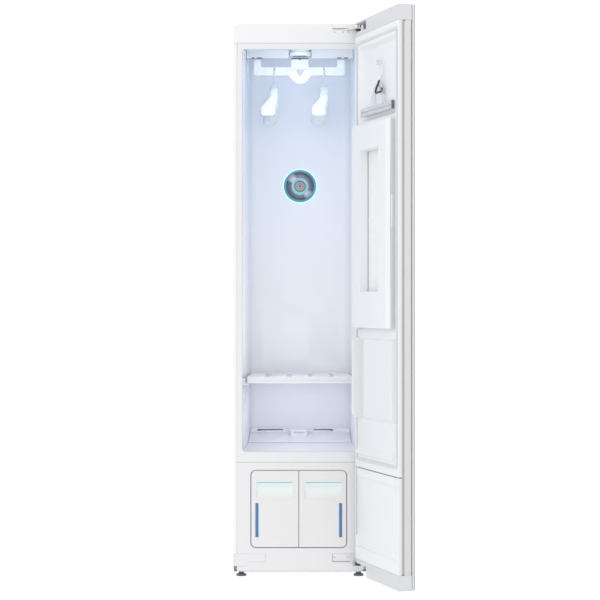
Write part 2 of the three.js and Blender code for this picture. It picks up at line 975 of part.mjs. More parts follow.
function lowerFascia() {
  const opening = [[bayX - bayHalf, bayX + bayHalf], [bayBottom, bayTop], bayRadius];
  const top = frameBottom - seam;
  const ring = frameRing([-frameHalf, frameHalf], [panelLift, top], opening, fasciaWall);
  const reach = [front - overrun, front + seatDepth];
  const blankSeat = prism(hingeSeatOutline(blankInner, -1, clearance), "y", reach);
  const hingeSeat = prism(hingeSeatOutline(hingePlateInner, 1, clearance), "y", reach);
  return cut(ring, blankSeat, hingeSeat);
}

function hingeBlankCover() {
  return prism(hingeSeatOutline(blankInner, -1, 0), "y", [front, front + seatDepth - clearance]);
}

// Cavity

// The cavity's outline in plan, drawn in by an inset, between two depths.
function cavityOutline(inset, frontDepth, backDepth) {
  const radius = Math.max(cavityRadius - inset, seam);
  const a = cavityHalf(frontDepth) - inset;
  const b = cavityHalf(backDepth + inset) - inset;
  return outline([
    [-a, front + frontDepth],
    [a, front + frontDepth],
    [b, front + backDepth, radius],
    [-b, front + backDepth, radius],
  ]);
}

// Side walls and back wall in one moulding, with the ledges that carry the shelf.
function cavityLiner() {
  const height = [openingBottom - floorThickness - overrun, cavityTop + ceilingWall];
  const start = frameDepth + clearance;
  const skin = prism(cavityOutline(-linerWall, start, cavityDepth + linerWall), "z", height);
  const room = prism(cavityOutline(0, start - overrun, cavityDepth), "z", [
    height[0] - overrun,
    height[1] + overrun,
  ]);
  const hole = rod(ventHole, [0, wallBack - overrun, ventZ], [0, wallBack + overrun, ventZ], holeSides);
  const pieces = [cut(skin, room, hole)];
  for (const hand of [-1, 1]) {
    const ledgeTop = shelfTop - shelfRail - clearance;
    const edge = (depth, inset) => [(cavityHalf(depth) - inset) * hand, front + depth];
    const embed = -linerWall / 2;
    const ledge = outline([
      edge(start, embed),
      edge(shelfBack, embed),
      edge(shelfBack, ledgeWidth),
      edge(start, ledgeWidth),
    ]);
    pieces.push(prism(ledge, "z", [ledgeTop - ledgeHeight, ledgeTop]));
    // A stop at the ledge's front end fills the space beside the shelf.
    const stop = outline([
      edge(start, embed),
      edge(start + stopDepth, embed),
      edge(start + stopDepth, stopWidth),
      edge(start, stopWidth),
    ]);
    pieces.push(prism(stop, "z", [ledgeTop - ledgeHeight, shelfTop - shelfWall]));
  }
  return join(pieces);
}

// The cavity floor climbs to the back, so that water runs forward to the lip.
function cavityFloor() {
  const start = front + frameDepth + clearance;
  const end = wallBack - clearance;
  const slab = prism(
    outline([
      [start, openingBottom - floorThickness],
      [start, openingBottom],
      [end, openingBottom + floorRise],
      [end, openingBottom + floorRise - floorThickness],
    ]),
    "x",
    [-openingHalf, openingHalf],
  );
  const plan = cavityOutline(clearance, frameDepth + clearance, cavityDepth - clearance);
  return slab.intersect(prism(plan, "z", [0, cavityTop]));
}

// The height of the cavity floor at a place along y.
function floorHeight(y) {
  return openingBottom + (floorRise * (y - wallFront)) / (wallBack - clearance - wallFront);
}

// The air inlet cover: a stepped hood over the back of the floor, with slots in its step.
function airInletCover() {
  const start = wallBack - inletDepth;
  const step = wallBack - inletStep;
  const end = wallBack - clearance;
  const seat = (y, lift) => floorHeight(y) + clearance + lift;
  const hood = (inset) =>
    outline([
      [start + inset, seat(start, -inset * inletUnderShare)],
      [start + inset, seat(start, inletWall)],
      [step + inset, inletShoulder - inset, inletShoulderRadius],
      [step + inset, inletTop - inset, inletWall],
      [end + (inset ? overrun : 0), inletTop - inset],
      [end + (inset ? overrun : 0), seat(end, -inset * inletUnderShare)],
    ]);
  const wide = [-openingHalf, openingHalf];
  const shell = cut(prism(hood(0), "x", wide), prism(hood(inletWall), "x", wide));
  const nozzleY = step - nozzleReach + inletWall;
  const nozzlePlan = outline([
    [bayX - nozzleHalf, step + inletWall],
    [bayX - nozzleHalf, nozzleY, nozzleRadius],
    [bayX + nozzleHalf, nozzleY, nozzleRadius],
    [bayX + nozzleHalf, step + inletWall],
  ]);
  const nozzle = prism(nozzlePlan, "z", [seat(step, 0), nozzleTop]);
  const slit = block(
    [bayX - nozzleHalf / 2, bayX + nozzleHalf / 2],
    [nozzleY - overrun, nozzleY + overrun],
    [nozzleTop - nozzleSlitDrop, nozzleTop - nozzleSlitDrop + nozzleSlit],
  );
  const slots = [inletLeftSlot, inletRightSlot].map((x) =>
    block(x, [step - overrun, step + overrun], [inletSlotBottom, inletSlotBottom + inletSlotHeight]),
  );
  const inset = inletWall / 2;
  const plan = cavityOutline(inset, frameDepth, cavityDepth - clearance);
  const kept = shell.add(nozzle).intersect(prism(plan, "z", [0, cavityTop]));
  return cut(kept, slit, ...slots);
}

// The ceiling with a front apron and, on either side of the drive, a beam that guides the bar.
function cavityCeiling() {
  const start = frameDepth + clearance;
  const plan = cavityOutline(clearance, start, cavityDepth - clearance);
  const slab = prism(plan, "z", [cavityTop, cavityTop + ceilingWall]);
  const half = cavityHalf(start) - seam;
  const apron = block(
    [-half, half],
    [front + start, front + start + linerWall],
    [openingTop + frameWall + clearance, cavityTop + ceilingWall / 2],
  );
  const guides = [-1, 1].map((hand) => guideBeam(hand));
  const shaftHole = rod(
    crankShaft + shaftRoom,
    [driveX, barY, cavityTop - overrun],
    [driveX, barY, cavityTop + overrun],
  );
  return cut(join([slab, apron, ...guides]), shaftHole);
}

// A beam from the drive's flange to the cavity wall, with a T-slot along x that opens below.
function guideBeam(hand) {
  const near = driveX + hand * (flangeRadius + clearance);
  const far = hand * (cavityHalf(driveDepth + guideHalfDepth) - clearance);
  const body = block(
    [near, far].sort((a, b) => a - b),
    [barY - guideHalfDepth, barY + guideHalfDepth],
    [guideBottom, cavityTop + ceilingWall / 2],
  );
  const x = guideX + (hand * guidePitch) / 2;
  const along = [x - guideSlotHalf, x + guideSlotHalf];
  const lip = guideBottom + guideLip;
  const head = tongueHead + guideHeadRoom;
  const stem = tongueStem + guideStemRoom;
  const hollow = block(along, [barY - head, barY + head], [lip, cavityTop - guideWall]);
  const slot = block(along, [barY - stem, barY + stem], [guideBottom - overrun, lip + overrun]);
  return cut(body, hollow, slot);
}

function lampLens() {
  const y = front + lampFront;
  const lens = outline([
    [y, cavityTop - clearance],
    [y, cavityTop - lampHeight, lampHeight / 3],
    [y + lampDepth, cavityTop - lampHeight / 2, lampHeight / 3],
    [y + lampDepth, cavityTop - clearance],
  ]);
  return prism(lens, "x", [-lampHalf, lampHalf]);
}

// Round vent

function ventLightRing() {
  const ring = [
    [ventHole - seam, clearance],
    [ventRadius, clearance],
    [ventRadius, ventRing * ringShoulderShare],
    [ventRadius - ventRing * ringChamferShare, ventRing],
    [ventHole - seam, ventRing],
    [ventHole - seam, clearance],
  ];
  return turnedForward(profileOf(ring), [0, wallBack, ventZ], ringSides);
}

// The dish curves in from the lit ring to the grille.
function ventDish() {
  const arc = (radius, lift) => {
    const span = (dishRadius - radius) / (dishRadius - dishInner);
    return ventRing - clearance - dishDepth * Math.sin((span * Math.PI) / 2) + lift;
  };
  const radii = [];
  for (let i = 0; i <= dishSteps; i += 1) {
    radii.push(dishRadius + ((dishInner - dishRadius) * i) / dishSteps);
  }
  const outer = radii.map((r) => [r, arc(r, 0)]);
  const inner = radii.toReversed().map((r) => [r, arc(r, -dishWall)]);
  const shell = profileOf([...outer, ...inner, outer[0]]);
  return turnedForward(shell, [0, wallBack, ventZ], dishSides);
}

// The grille: a diffusing ring round a slotted, slightly domed core.
function ventGrille() {
  const seat = ventRing - clearance - dishDepth;
  const radius = grilleRadius;
  const face = [
    [0, seat - dishWall],
    [radius, seat - dishWall],
    [radius, seat],
    [grilleCore, seat + dishWall],
    [grilleCore - grilleRim, seat + dishWall],
    [grilleCore - 2 * grilleRim, seat + dishWall + grilleRim],
    [grilleCore / 2, seat + grilleDome],
    [0, seat + grilleDome + grilleRim],
  ];
  const disc = turnedForward(profileOf(face), [0, wallBack, ventZ], grilleSides);
  const slots = [];
  for (let i = 0; i < grilleSlots; i += 1) {
    const angle = (i * 2 * Math.PI) / grilleSlots;
    const reach = grilleSlotShares.map((share) => grilleCore * share);
    const innerReach = grilleInnerShares.map((share) => grilleCore * share);
    slots.push(spoke(angle, reach, grilleSlotWidth));
    if (i % 2) slots.push(spoke(angle, innerReach, grilleSlotWidth));
  }
  return cut(disc, join(slots));
}

// A radial slot through the grille.
function spoke(angle, [near, far], width) {
  const box = new THREE.BoxGeometry(far - near, grilleSlotDepth, width);
  box.translate((near + far) / 2, wallBack, 0).rotateY(angle);
  const centre = new THREE.Vector3(0, wallBack, 0);
  centre.sub(new THREE.Vector3(0, wallBack, 0).applyAxisAngle(new THREE.Vector3(0, 1, 0), angle));
  return solidOf(box.translate(centre.x, centre.y, centre.z + ventZ));
}

// The duct behind the back wall carries air from the blower to the round vent.
function rearDuct() {
  const start = wallBack + linerWall + clearance;
  const top = ventZ + ductOverVent;
  const shell = block([-ductHalf, ductHalf], [start, ductRear], [ductBottom, top]);
  const hollow = block(
    [-ductHalf + ductWall, ductHalf - ductWall],
    [start + ductWall, ductRear - ductWall],
    [ductBottom - overrun, top - ductWall],
  );
  const mouth = rod(ventHole, [0, start - overrun, ventZ], [0, start + overrun, ventZ], ringSides);
  return cut(shell, hollow, mouth);
}

// Drive of the hanger bar

function driveFlange() {
  const low = cavityTop - clearance - flangeHeight;
  const ring = [
    [flangeBore, low],
    [flangeRadius - flangeChamfer, low],
    [flangeRadius, low + flangeChamfer],
    [flangeRadius, low + flangeHeight * flangeStepShares[0]],
    [flangeRadius - flangeStep, low + flangeHeight * flangeStepShares[1]],
    [flangeRadius - flangeStep, cavityTop - clearance],
    [flangeBore, cavityTop - clearance],
    [flangeBore, low],
  ];
  return turned(profileOf(ring), [driveX, barY, 0], grilleSides);
}

function driveMotor() {
  const low = cavityTop + ceilingWall + clearance;
  const capRadius = motorRadius * motorCapShare;
  const earHalf = motorRadius * motorEarShare;
  const can = [
    [0, low],
    [motorRadius, low],
    [motorRadius, low + motorHeight * motorStepShares[0]],
    [capRadius, low + motorHeight * motorStepShares[1]],
    [capRadius, low + motorHeight - motorChamfer],
    [capRadius - motorChamfer, low + motorHeight],
    [0, low + motorHeight],
  ];
  const ear = block(
    [driveX - earHalf, driveX + earHalf],
    [barY - motorRadius / 3, barY + motorRadius / 3],
    [low, low + ceilingWall],
  );
  return turned(profileOf(can), [driveX, barY, 0], rodSides).add(ear);
}

// The crank turns above the bar's yoke; its pin stands just clear of the yoke's groove.
const crankAngle = Math.acos((barX + neckOffset - driveX) / crankThrow);

function driveCrank() {
  const low = cavityTop - clearance - flangeHeight + crankGap;
  const onShaft = (z) => [driveX, barY, z];
  const disc = rod(crankRadius, onShaft(low), onShaft(low + crankThickness), discSides);
  const shaft = rod(crankShaft, onShaft(low), onShaft(cavityTop + ceilingWall));
  const x = driveX + crankThrow * Math.cos(crankAngle);
  const y = barY + crankThrow * Math.sin(crankAngle);
  const pin = rod(crankPin, [x, y, neckTop + seam], [x, y, low + crankThickness / 2], pinSides);
  return join([disc, shaft, pin]);
}

// The hanger bar: upturned ends with tongues in the guide blocks, a neck with the yoke groove
// under the drive, and a rounded shield in the middle.
function hangerBar() {
  const neckLeft = barX + neckOffset - neckHalf;
  const neckRight = barX + neckOffset + neckHalf;
  const inner = barHalf - barEndWidth;
  const body = outline([
    [barX - barHalf, barEndTop, barEndRadius],
    [barX - inner, barEndTop, barEndRadius],
    [barX - inner, barTop, barRadius],
    [neckLeft, barTop, barRadius / 2],
    [neckLeft, neckTop, barCorner],
    [neckRight, neckTop, barCorner],
    [neckRight, barTop, barRadius / 2],
    [barX + inner, barTop, barRadius],
    [barX + inner, barEndTop, barEndRadius],
    [barX + barHalf, barEndTop, barEndRadius],
    [barX + barHalf, barBottom, barRadius],
    [barX - barHalf, barBottom, barRadius],
  ]);
  const shieldX = barX + shieldOffset;
  const shield = outline([
    [shieldX - shieldHalf, barTop - barRadius, barRadius],
    [shieldX + shieldHalf, barTop - barRadius, barRadius],
    [shieldX + shieldHalf, barBottom, shieldSideRadius],
    [shieldX + shieldTip, shieldBottom, shieldTipRadius],
    [shieldX - shieldTip, shieldBottom, shieldTipRadius],
    [shieldX - shieldHalf, barBottom, shieldSideRadius],
  ]);
  const nose = barY - barHalfDepth - shieldProud;
  const recess = outline([
    [shieldX - shieldRecessHalf, shieldRecessTop, barCorner],
    [shieldX, shieldRecessBottom, barCorner],
    [shieldX + shieldRecessHalf, shieldRecessTop, barCorner],
  ]);
  const pieces = [
    prism(body, "y", [barY - barHalfDepth, barY + barHalfDepth], barBevel),
    prism(shield, "y", [nose, barY + barHalfDepth], barBevel),
  ];
  for (const hand of [-1, 1]) {
    const x = barX + hand * (barHalf - barEndWidth / 2);
    const stemX = [x - tongueHalf, x + tongueHalf];
    const head = guideBottom + guideLip + clearance;
    const stem = [barEndTop - barCorner, head + tongueHeadHeight / 2];
    pieces.push(block(stemX, [barY - tongueStem, barY + tongueStem], stem));
    pieces.push(block(stemX, [barY - tongueHead, barY + tongueHead], [head, head + tongueHeadHeight]));
  }
  const yoke = block(
    [barX + neckOffset - crankPin - seam, barX + neckOffset + crankPin + seam],
    [barY - barHalfDepth - overrun, barY + barHalfDepth + overrun],
    [neckTop - yokeDepth, neckTop + overrun],
  );
  const window = prism(recess, "y", [nose - overrun, nose + shieldRecessDepth]);
  return cut(join(pieces), yoke, window, ...[-1, 1].map((hand) => hookSaddle(barX + hand * notchX)));
}

// What is cut away at a hook: the bar's top is rounded there to a saddle.
function hookSaddle(x) {
  const wide = [x - notchHalf, x + notchHalf];
  const centre = barTop - barHalfDepth - overrun;
  const ends = [wide[0] - overrun, wide[1] + overrun].map((end) => [end, barY, centre]);
  const round = rod(saddleRadius, ...ends, discSides);
  const above = block(
    wide,
    [barY - barHalfDepth - overrun, barY + barHalfDepth + overrun],
    [centre, barTop + overrun],
  );
  // Grooves below the saddle, front and rear, let the hook swing.
  const grooves = [-1, 1].map((face) => {
    const depths = [barHalfDepth - saddleGroove, barHalfDepth + overrun];
    const y = depths.map((depth) => barY + face * depth).sort((a, b) => a - b);
    return block(wide, y, [barBottom - overrun, centre]);
  });
  return join([cut(above, round), ...grooves]);
}

// A contoured coat hanger, seen end-on from the front: its shoulders drop, widen and sweep aside.
function coatHanger(x) {
  const rings = [];
  for (let i = 0; i <= hangerStations; i += 1) {
    const along = (2 * i) / hangerStations - 1;
    const out = Math.sin((Math.abs(along) * Math.PI) / 2);
    const end = i === 0 || i === hangerStations ? hangerEndShare : 1;
    const drop = out ** hangerDropPower;
    const turn = THREE.MathUtils.smoothstep(drop, ...hangerTurnShares);
    const half = (hangerNeckHalf + (hangerEndHalf - hangerNeckHalf) * turn) * end;
    const tall = (hangerNeckHeight + (hangerEndHeight - hangerNeckHeight) * turn) * end;
    const cx = x - hangerSweep * turn;
    const cz = hangerTop - hangerNeckHeight - hangerDrop * drop;
    const y = barY + hangerReach * Math.sin((along * Math.PI) / 2);
    const round = (value) => Math.sign(value) * Math.abs(value) ** hangerSquareness;
    const ring = [];
    for (let k = 0; k < hangerSides; k += 1) {
      const angle = (2 * Math.PI * k) / hangerSides;
      const across = half * round(Math.cos(angle));
      ring.push(new THREE.Vector3(cx + across, y, cz + tall * round(Math.sin(angle))));
    }
    rings.push(ring);
  }
  const socket = rod(
    hookWire + clearance,
    [x, barY, hangerTop - hookSocket],
    [x, barY, hangerTop + overrun],
    pinSides,
  );
  return cut(loft(rings), socket);
}

// The wire hook rises from the hanger, passes in front of the bar and over its saddle.
function coatHook(x) {
  const ring = saddleRadius + clearance + hookWire;
  const centre = barTop - barHalfDepth - overrun;
  const points = [
    [x, barY, hangerTop - hookSocket + clearance],
    [x, barY, hangerTop - hookWire],
    [x, barY, hangerTop + hookWire],
    [x, barY - ring / 2, (hangerTop + barBottom) / 2 + hookWire],
    [x, barY - ring, barBottom - hookWire],
    [x, barY - ring, centre],
  ];
  for (let i = 1; i <= hookBends; i += 1) {
    const angle = Math.PI - (i * Math.PI) / hookBends;
    points.push([x, barY + ring * Math.cos(angle), centre + ring * Math.sin(angle)]);
  }
  points.push([x, barY + ring, centre - hookTail]);
  return wire(hookWire, points, hookStations);
}

// Shelf

function shelf() {
  const plan = (inset) => {
    const edge = (depth) => cavityHalf(depth) - shelfGap - inset;
    return outline([
      [-edge(shelfFront), front + shelfFront + inset, shelfGap / 2],
      [edge(shelfFront), front + shelfFront + inset, shelfGap / 2],
      [edge(shelfBack), front + shelfBack - inset, shelfGap],
      [-edge(shelfBack), front + shelfBack - inset, shelfGap],
    ]);
  };
  const bottom = shelfTop - shelfRail;
  const tray = prism(plan(0), "z", [bottom, shelfTop]);
  const under = prism(plan(shelfWall), "z", [bottom - overrun, shelfTop - shelfWall]);
  const slots = [];
  for (let i = 0; i < slotCount; i += 1) {
    const x = (i - (slotCount - 1) / 2) * slotPitch;
    const edge = rectangle(
      [x - slotWidth / 2, x + slotWidth / 2],
      [front + slotFront, front + slotBack],
      slotWidth / 2 - seam / 2,
    );
    slots.push(prism(outline(edge), "z", [bottom, shelfTop + overrun]));
  }
  const railGroove = block(
    [-openingHalf, openingHalf],
    [front + shelfFront - overrun, front + shelfFront + railGrooveDepth],
    railGrooveShares.map((share) => bottom + shelfRail * share),
  );
  const rearRelief = block(
    [-openingHalf, openingHalf],
    [front + shelfFront + shelfNose, front + shelfBack + overrun],
    [bottom - overrun, shelfTop - shelfSkirt],
  );
  return cut(tray, under, railGroove, rearRelief.subtract(ledgeSeats()), ...slots);
}

// Where the shelf keeps its full skirt, over the ledges.
function ledgeSeats() {
  const seats = [-1, 1].map((hand) => {
    const edge = (depth, inset) => [(cavityHalf(depth) - inset) * hand, front + depth];
    const depths = [shelfFront - overrun, shelfBack + overrun];
    const strip = outline([
      edge(depths[0], 0),
      edge(depths[1], 0),
      edge(depths[1], shelfGap + shelfWall),
      edge(depths[0], shelfGap + shelfWall),
    ]);
    return prism(strip, "z", [shelfTop - shelfRail - overrun, shelfTop]);
  });
  return join(seats);
}

// Tanks

// The front moulding of a tank, with its scooped finger recess and a seat for the level window.
function tankFront([x0, x1], windowX, outerHand) {
  const [z0, z1] = [bayBottom + tankGap, bayTop - tankGap];
  const big = bayRadius - tankGap;
  const small = tankWall / 2;
  const [left, right] = outerHand < 0 ? [big, small] : [small, big];
  const face = (inset) =>
    outline([
      [x0 + inset, z0 + inset, Math.max(left - inset, small)],
      [x1 - inset, z0 + inset, Math.max(right - inset, small)],
      [x1 - inset, z1 - inset, Math.max(right - inset, small)],
      [x0 + inset, z1 - inset, Math.max(left - inset, small)],
    ]);
  const shell = cut(
    prism(face(0), "y", [front, front + tankFrontDepth]),
    prism(face(tankWall), "y", [front + tankWall, front + tankFrontDepth + overrun]),
  );
  const middle = (x0 + x1) / 2;
  const scoop = (grow, start) =>
    outline([
      [start, tankRecessTop + grow],
      [front + tankRecessDepth + grow, tankRecessTop + grow, tankRecessRadius],
      [front + tankRecessDepth + grow, tankRecessTop - tankRecessGrip, tankRecessRadius],
      [front + grow, tankRecessBottom - grow],
      [start, tankRecessBottom - grow],
    ]);
  const half = tankRecessHalf;
  const housing = prism(scoop(tankWall, front + tankWall / 2), "x", [
    middle - half - tankWall,
    middle + half + tankWall,
  ]);
  const recess = prism(scoop(0, front - overrun), "x", [middle - half, middle + half]);
  const seat = block(
    [windowX - windowWidth / 2 - clearance, windowX + windowWidth / 2 + clearance],
    [front - overrun, front + windowDepth],
    [windowBottom - clearance, windowTop + clearance],
  );
  return cut(shell.add(housing), recess, seat);
}

function tankWindow(x) {
  const corners = rectangle(
    [x - windowWidth / 2, x + windowWidth / 2],
    [windowBottom, windowTop],
    windowWidth / 4,
  );
  return prism(outline(corners), "y", [front, front + windowDepth - clearance]);
}

// The water vessel behind a tank front, open at the top.
function tankBody([x0, x1]) {
  const start = front + tankFrontDepth + clearance;
  const end = start + tankBodyDepth;
  const bottom = bayBottom + bayWall + tankRunner + clearance - baySide;
  const plan = (inset) =>
    outline(
      rectangle(
        [x0 + tankBodyInset + inset, x1 - tankBodyInset - inset],
        [start + inset, end - inset],
        tankBodyRadius - inset,
      ),
    );
  const shell = prism(plan(0), "z", [bottom, tankBodyTop]);
  const rim = prism(plan(-tankRimProud), "z", [tankBodyTop - tankRimHeight, tankBodyTop]);
  const room = block([x0, x1], [start, end + tankBodyInset], [bottom, tankBodyTop + overrun]);
  const trimmed = rim.intersect(room);
  return cut(
    shell.add(trimmed),
    prism(plan(tankBodyWall), "z", [bottom + tankBodyWall, tankBodyTop + overrun]),
  );
}

// The bay: a tray-like housing, open in front, with two runners under each tank.
function tankBay() {
  const half = bayHalf + baySide;
  const [y0, y1] = [front + frameDepth + clearance, front + bayDepth];
  const [z0, z1] = [bayBottom - baySide, bayTop + baySide];
  const shell = block([bayX - half, bayX + half], [y0, y1], [z0, z1]);
  const hollow = block(
    [bayX - half + bayWall, bayX + half - bayWall],
    [y0 - overrun, y1 - bayWall],
    [z0 + bayWall, z1 - bayWall],
  );
  const runners = runnerShares.map((share) => {
    const x = bayX + share * bayHalf;
    return block(
      [x - tankRunner / 2, x + tankRunner / 2],
      [y0 + tankRunner, y1 - bayWall / 2],
      [z0 + bayWall / 2, z0 + bayWall + tankRunner],
    );
  });
  return join([cut(shell, hollow), ...runners]);
}

// Hinges

// The arm of a hinge in plan: wide at the cabinet, narrow round the pin.
function hingeArm(rear) {
  return outline([
    [hingePlateInner, rear],
    [hingeEdge, rear],
    [hingeEdge, hingeY - hingeArmReach, hingeArmRadius],
    [hingeX - hingeArmHalf, hingeY - hingeArmReach, hingeArmRadius],
    [hingeX - 2 * hingeArmHalf, front, hingeArmRadius],
    [hingePlateInner, front],
  ]);
}

function upperHinge() {
  const top = upperArmBottom + upperArmThickness;
  const arm = prism(hingeArm(front + hingePlateRear), "z", [upperArmBottom, top]);
  const place = (z) => [hingeX, hingeY, z];
  const collar = rod(hingeCollar, place(pinNotch + clearance), place(top + upperCapHeight));
  const pin = rod(hingePinRadius, place(pinNotch - capBoss), place(top));
  return join([arm, collar, pin]);
}

function lowerHinge() {
  const armTop = lowerArmBottom + lowerArmThickness;
  const reach = front + seatDepth - clearance;
  const plate = prism(hingeSeatOutline(hingePlateInner, 1, 0), "y", [front, reach]);
  const arm = prism(hingeArm(reach), "z", [lowerArmBottom, armTop]);
  const onPlate = block(
    [lowerPlateNarrow, hingeEdge],
    [hingeY - hingePlateRear, reach],
    [0, lowerPlateTop],
  );
  const place = (z) => [hingeX, hingeY, z];
  const collar = rod(hingeCollar, place(lowerArmBottom - hingeArmRadius), place(notchDepth - clearance));
  const pin = rod(hingePinRadius, place(armTop), place(notchDepth + capBoss));
  return join([plate, arm.intersect(onPlate), collar, pin]);
}

// Machine compartment

function compressor() {
  const foot = compartmentFloor + compressorFoot;
  const top = foot + compressorHeight;
  const r = compressorRadius;
  const can = outline([
    [0, foot],
    [r, foot, r / 3],
    [r, top, r / 2],
    [0, top],
  ]);
  const centre = [compressorX, compressorY];
  const plate = block(
    [compressorX - r, compressorX + r],
    [compressorY - r, compressorY + r],
    [foot - compressorFoot / 4, foot + compressorFoot / 4],
  );
  const mounts = [-1, 1].flatMap((a) =>
    [-1, 1].map((b) => {
      const reach = r * compressorMountShare;
      const [x, y] = [compressorX + a * reach, compressorY + b * reach];
      return rod(compressorFoot, [x, y, compartmentFloor], [x, y, foot], pinSides);
    }),
  );
  const stub = rod(hingePinRadius, [...centre, top - r / 4], [...centre, top + r / 4], stubSides);
  return join([turned(can, [...centre, 0], canSides), plate, ...mounts, stub]);
}

// Evaporator and condenser in one block of upright fins.
function heatExchanger() {
  const [y0, y1] = [exchangerFront, exchangerRear];
  const top = compartmentFloor + exchangerHeight;
  const rootTop = compartmentFloor + finRoot;
  const root = block([exchangerLeft, exchangerRight], [y0, y1], [compartmentFloor, rootTop]);
  const pitch = (exchangerRight - exchangerLeft - finThickness) / (finCount - 1);
  const fins = [];
  for (let i = 0; i < finCount; i += 1) {
    const x = exchangerLeft + i * pitch;
    fins.push(block([x, x + finThickness], [y0, y1], [compartmentFloor, top]));
  }
  return join([root, ...fins]);
}

function steamGenerator() {
  const top = compartmentFloor + steamHeight;
  const corners = rectangle([steamLeft, steamRight], [steamFront, steamRear], steamPipe);
  const box = prism(outline(corners), "z", [compartmentFloor, top]);
  const x = (steamLeft + steamRight) / 2;
  const y = (steamFront + steamRear) / 2;
  const lid = rod(steamLidRadius, [x, y, top - seam], [x, y, top + steamPipe]);
  const outlet = rod(steamPipe, [x, y, top], [x, y, top + steamPipeHeight], pinSides);
  return join([box, lid, outlet]);
}

// The outline of the blower's scroll, growing towards its outlet at the top.
function scroll(grow) {
  const points = [];
  for (let i = 0; i <= scrollSteps; i += 1) {
    const share = i / scrollSteps;
    const angle = 2 * Math.PI * scrollTurnShare * share + Math.PI / 2;
    const radius = blowerRadius + blowerGrowth * share + grow;
    points.push(new THREE.Vector2(radius * Math.cos(angle), blowerZ + radius * Math.sin(angle)));
  }
  const outletTop = ductBottom - clearance + (grow ? 0 : overrun);
  const right = blowerRadius + blowerGrowth + grow;
  points.push(new THREE.Vector2(right, outletTop));
  points.push(new THREE.Vector2(0, outletTop));
  return points;
}

function blowerHousing() {
  const outer = prism(scroll(blowerWall), "y", [blowerFront, blowerRear]);
  const inner = prism(scroll(0), "y", [blowerFront + blowerWall, blowerRear - blowerWall]);
  const place = (y) => [0, y, blowerZ];
  const rearWall = place(blowerRear - blowerWall / 2);
  const mouth = [blowerFront - overrun, blowerFront + overrun].map(place);
  const inlet = rod(blowerInlet, ...mouth, dishSides);
  const shaft = rod(blowerShaft, place(blowerFront + impellerGap), rearWall, pinSides);
  const motor = rod(blowerMotor, rearWall, place(back - blowerMotorGap), canSides);
  const low = compartmentFloor + exchangerHeight + clearance;
  const foot = blowerZ - blowerRadius - blowerFoot;
  const feet = [-1, 1].map((hand) => {
    const x = (hand * blowerRadius) / 2;
    return block([x - blowerFoot, x + blowerFoot], [blowerFront, blowerRear], [low, foot]);
  });
  return join([cut(outer, inner, inlet), shaft, motor, ...feet.map((leg) => leg.subtract(outer))]);
}

// The impeller: a drum of forward-curved blades between a back plate and a front ring.
function impeller() {
  const [y0, y1] = [blowerFront + impellerGap, blowerRear - blowerWall - impellerGap];
  const place = (y) => [0, y, blowerZ];
  const plate = rod(impellerRadius, place(y1 - 2 * bladeThickness), place(y1), impellerSides);
  const hub = rod(impellerHub, place(y1 - impellerHub * 2), place(y1));
  const rim = cut(
    rod(impellerRadius, place(y0), place(y0 + 2 * bladeThickness), impellerSides),
    rod(impellerInner, place(y0 - overrun), place(y0 + overrun), impellerSides),
  );
  const blades = [];
  for (let i = 0; i < impellerBlades; i += 1) {
    const long = impellerRadius - impellerInner;
    const blade = new THREE.BoxGeometry(long, y1 - y0 - bladeThickness, bladeThickness);
    blade.rotateY(THREE.MathUtils.degToRad(bladeTwistDegrees));
    blade.translate((impellerRadius + impellerInner) / 2 - bladeThickness / 2, (y0 + y1) / 2, 0);
    blade.rotateY((i * 2 * Math.PI) / impellerBlades);
    blades.push(solidOf(blade.translate(0, 0, blowerZ)));
  }
  const bore = rod(blowerShaft + clearance, place(y0 - overrun), place(y1 + overrun), pinSides);
  return cut(join([plate, hub, rim, ...blades]), bore);
}

// Door: x is minus the distance to the free edge, y is minus the distance outwards.

// A box in the door, from distances to the free edge, distances inwards and heights.
function doorBlock([u0, u1], [in0, in1], z) {
  return block([-u1, -u0], [in0, in1], z);
}

// The glass front panel with its turned-in edge.
function doorFrontPanel() {
  const face = (inset) =>
    outline(
      rectangle(
        [-doorFreeEdge + inset, doorHingeEdge - inset],
        [inset, cabinetHeight - inset],
        glassRadius,
      ),
    );
  const slab = prism(face(0), "y", [-doorOuter, -glassSeat], seam);
  const hollow = prism(face(glassLip), "y", [-doorOuter + doorGlass, -glassSeat + overrun]);
  return cut(slab, hollow);
}

// An edge trim: inner edge, shadow groove, silver face and grip groove beside the glass.
function doorTrim(hinge) {
  const seat = -glassSeat + clearance;
  const grip = -glassSeat + gripWidth;
  const groove = [trimGroove - trimGrooveWidth / 2, trimGroove + trimGrooveWidth / 2];
  const corners = [
    [0, seat],
    [gripDepth, seat],
    [gripDepth, grip],
    [0, grip, trimRadius],
    [0, groove[0]],
    [trimGrooveDepth, groove[0]],
    [trimGrooveDepth, groove[1]],
    [0, groove[1]],
    [0, trimInner],
    [trimWidth, trimInner],
    [trimWidth, seat],
  ];
  corners.shift();
  const points = outline(corners).map((p) => {
    const x = hinge ? doorHingeEdge - p.x : -doorFreeEdge + p.x;
    return new THREE.Vector2(x, p.y);
  });
  return prism(points, "z", [trimBottom, trimTop]);
}

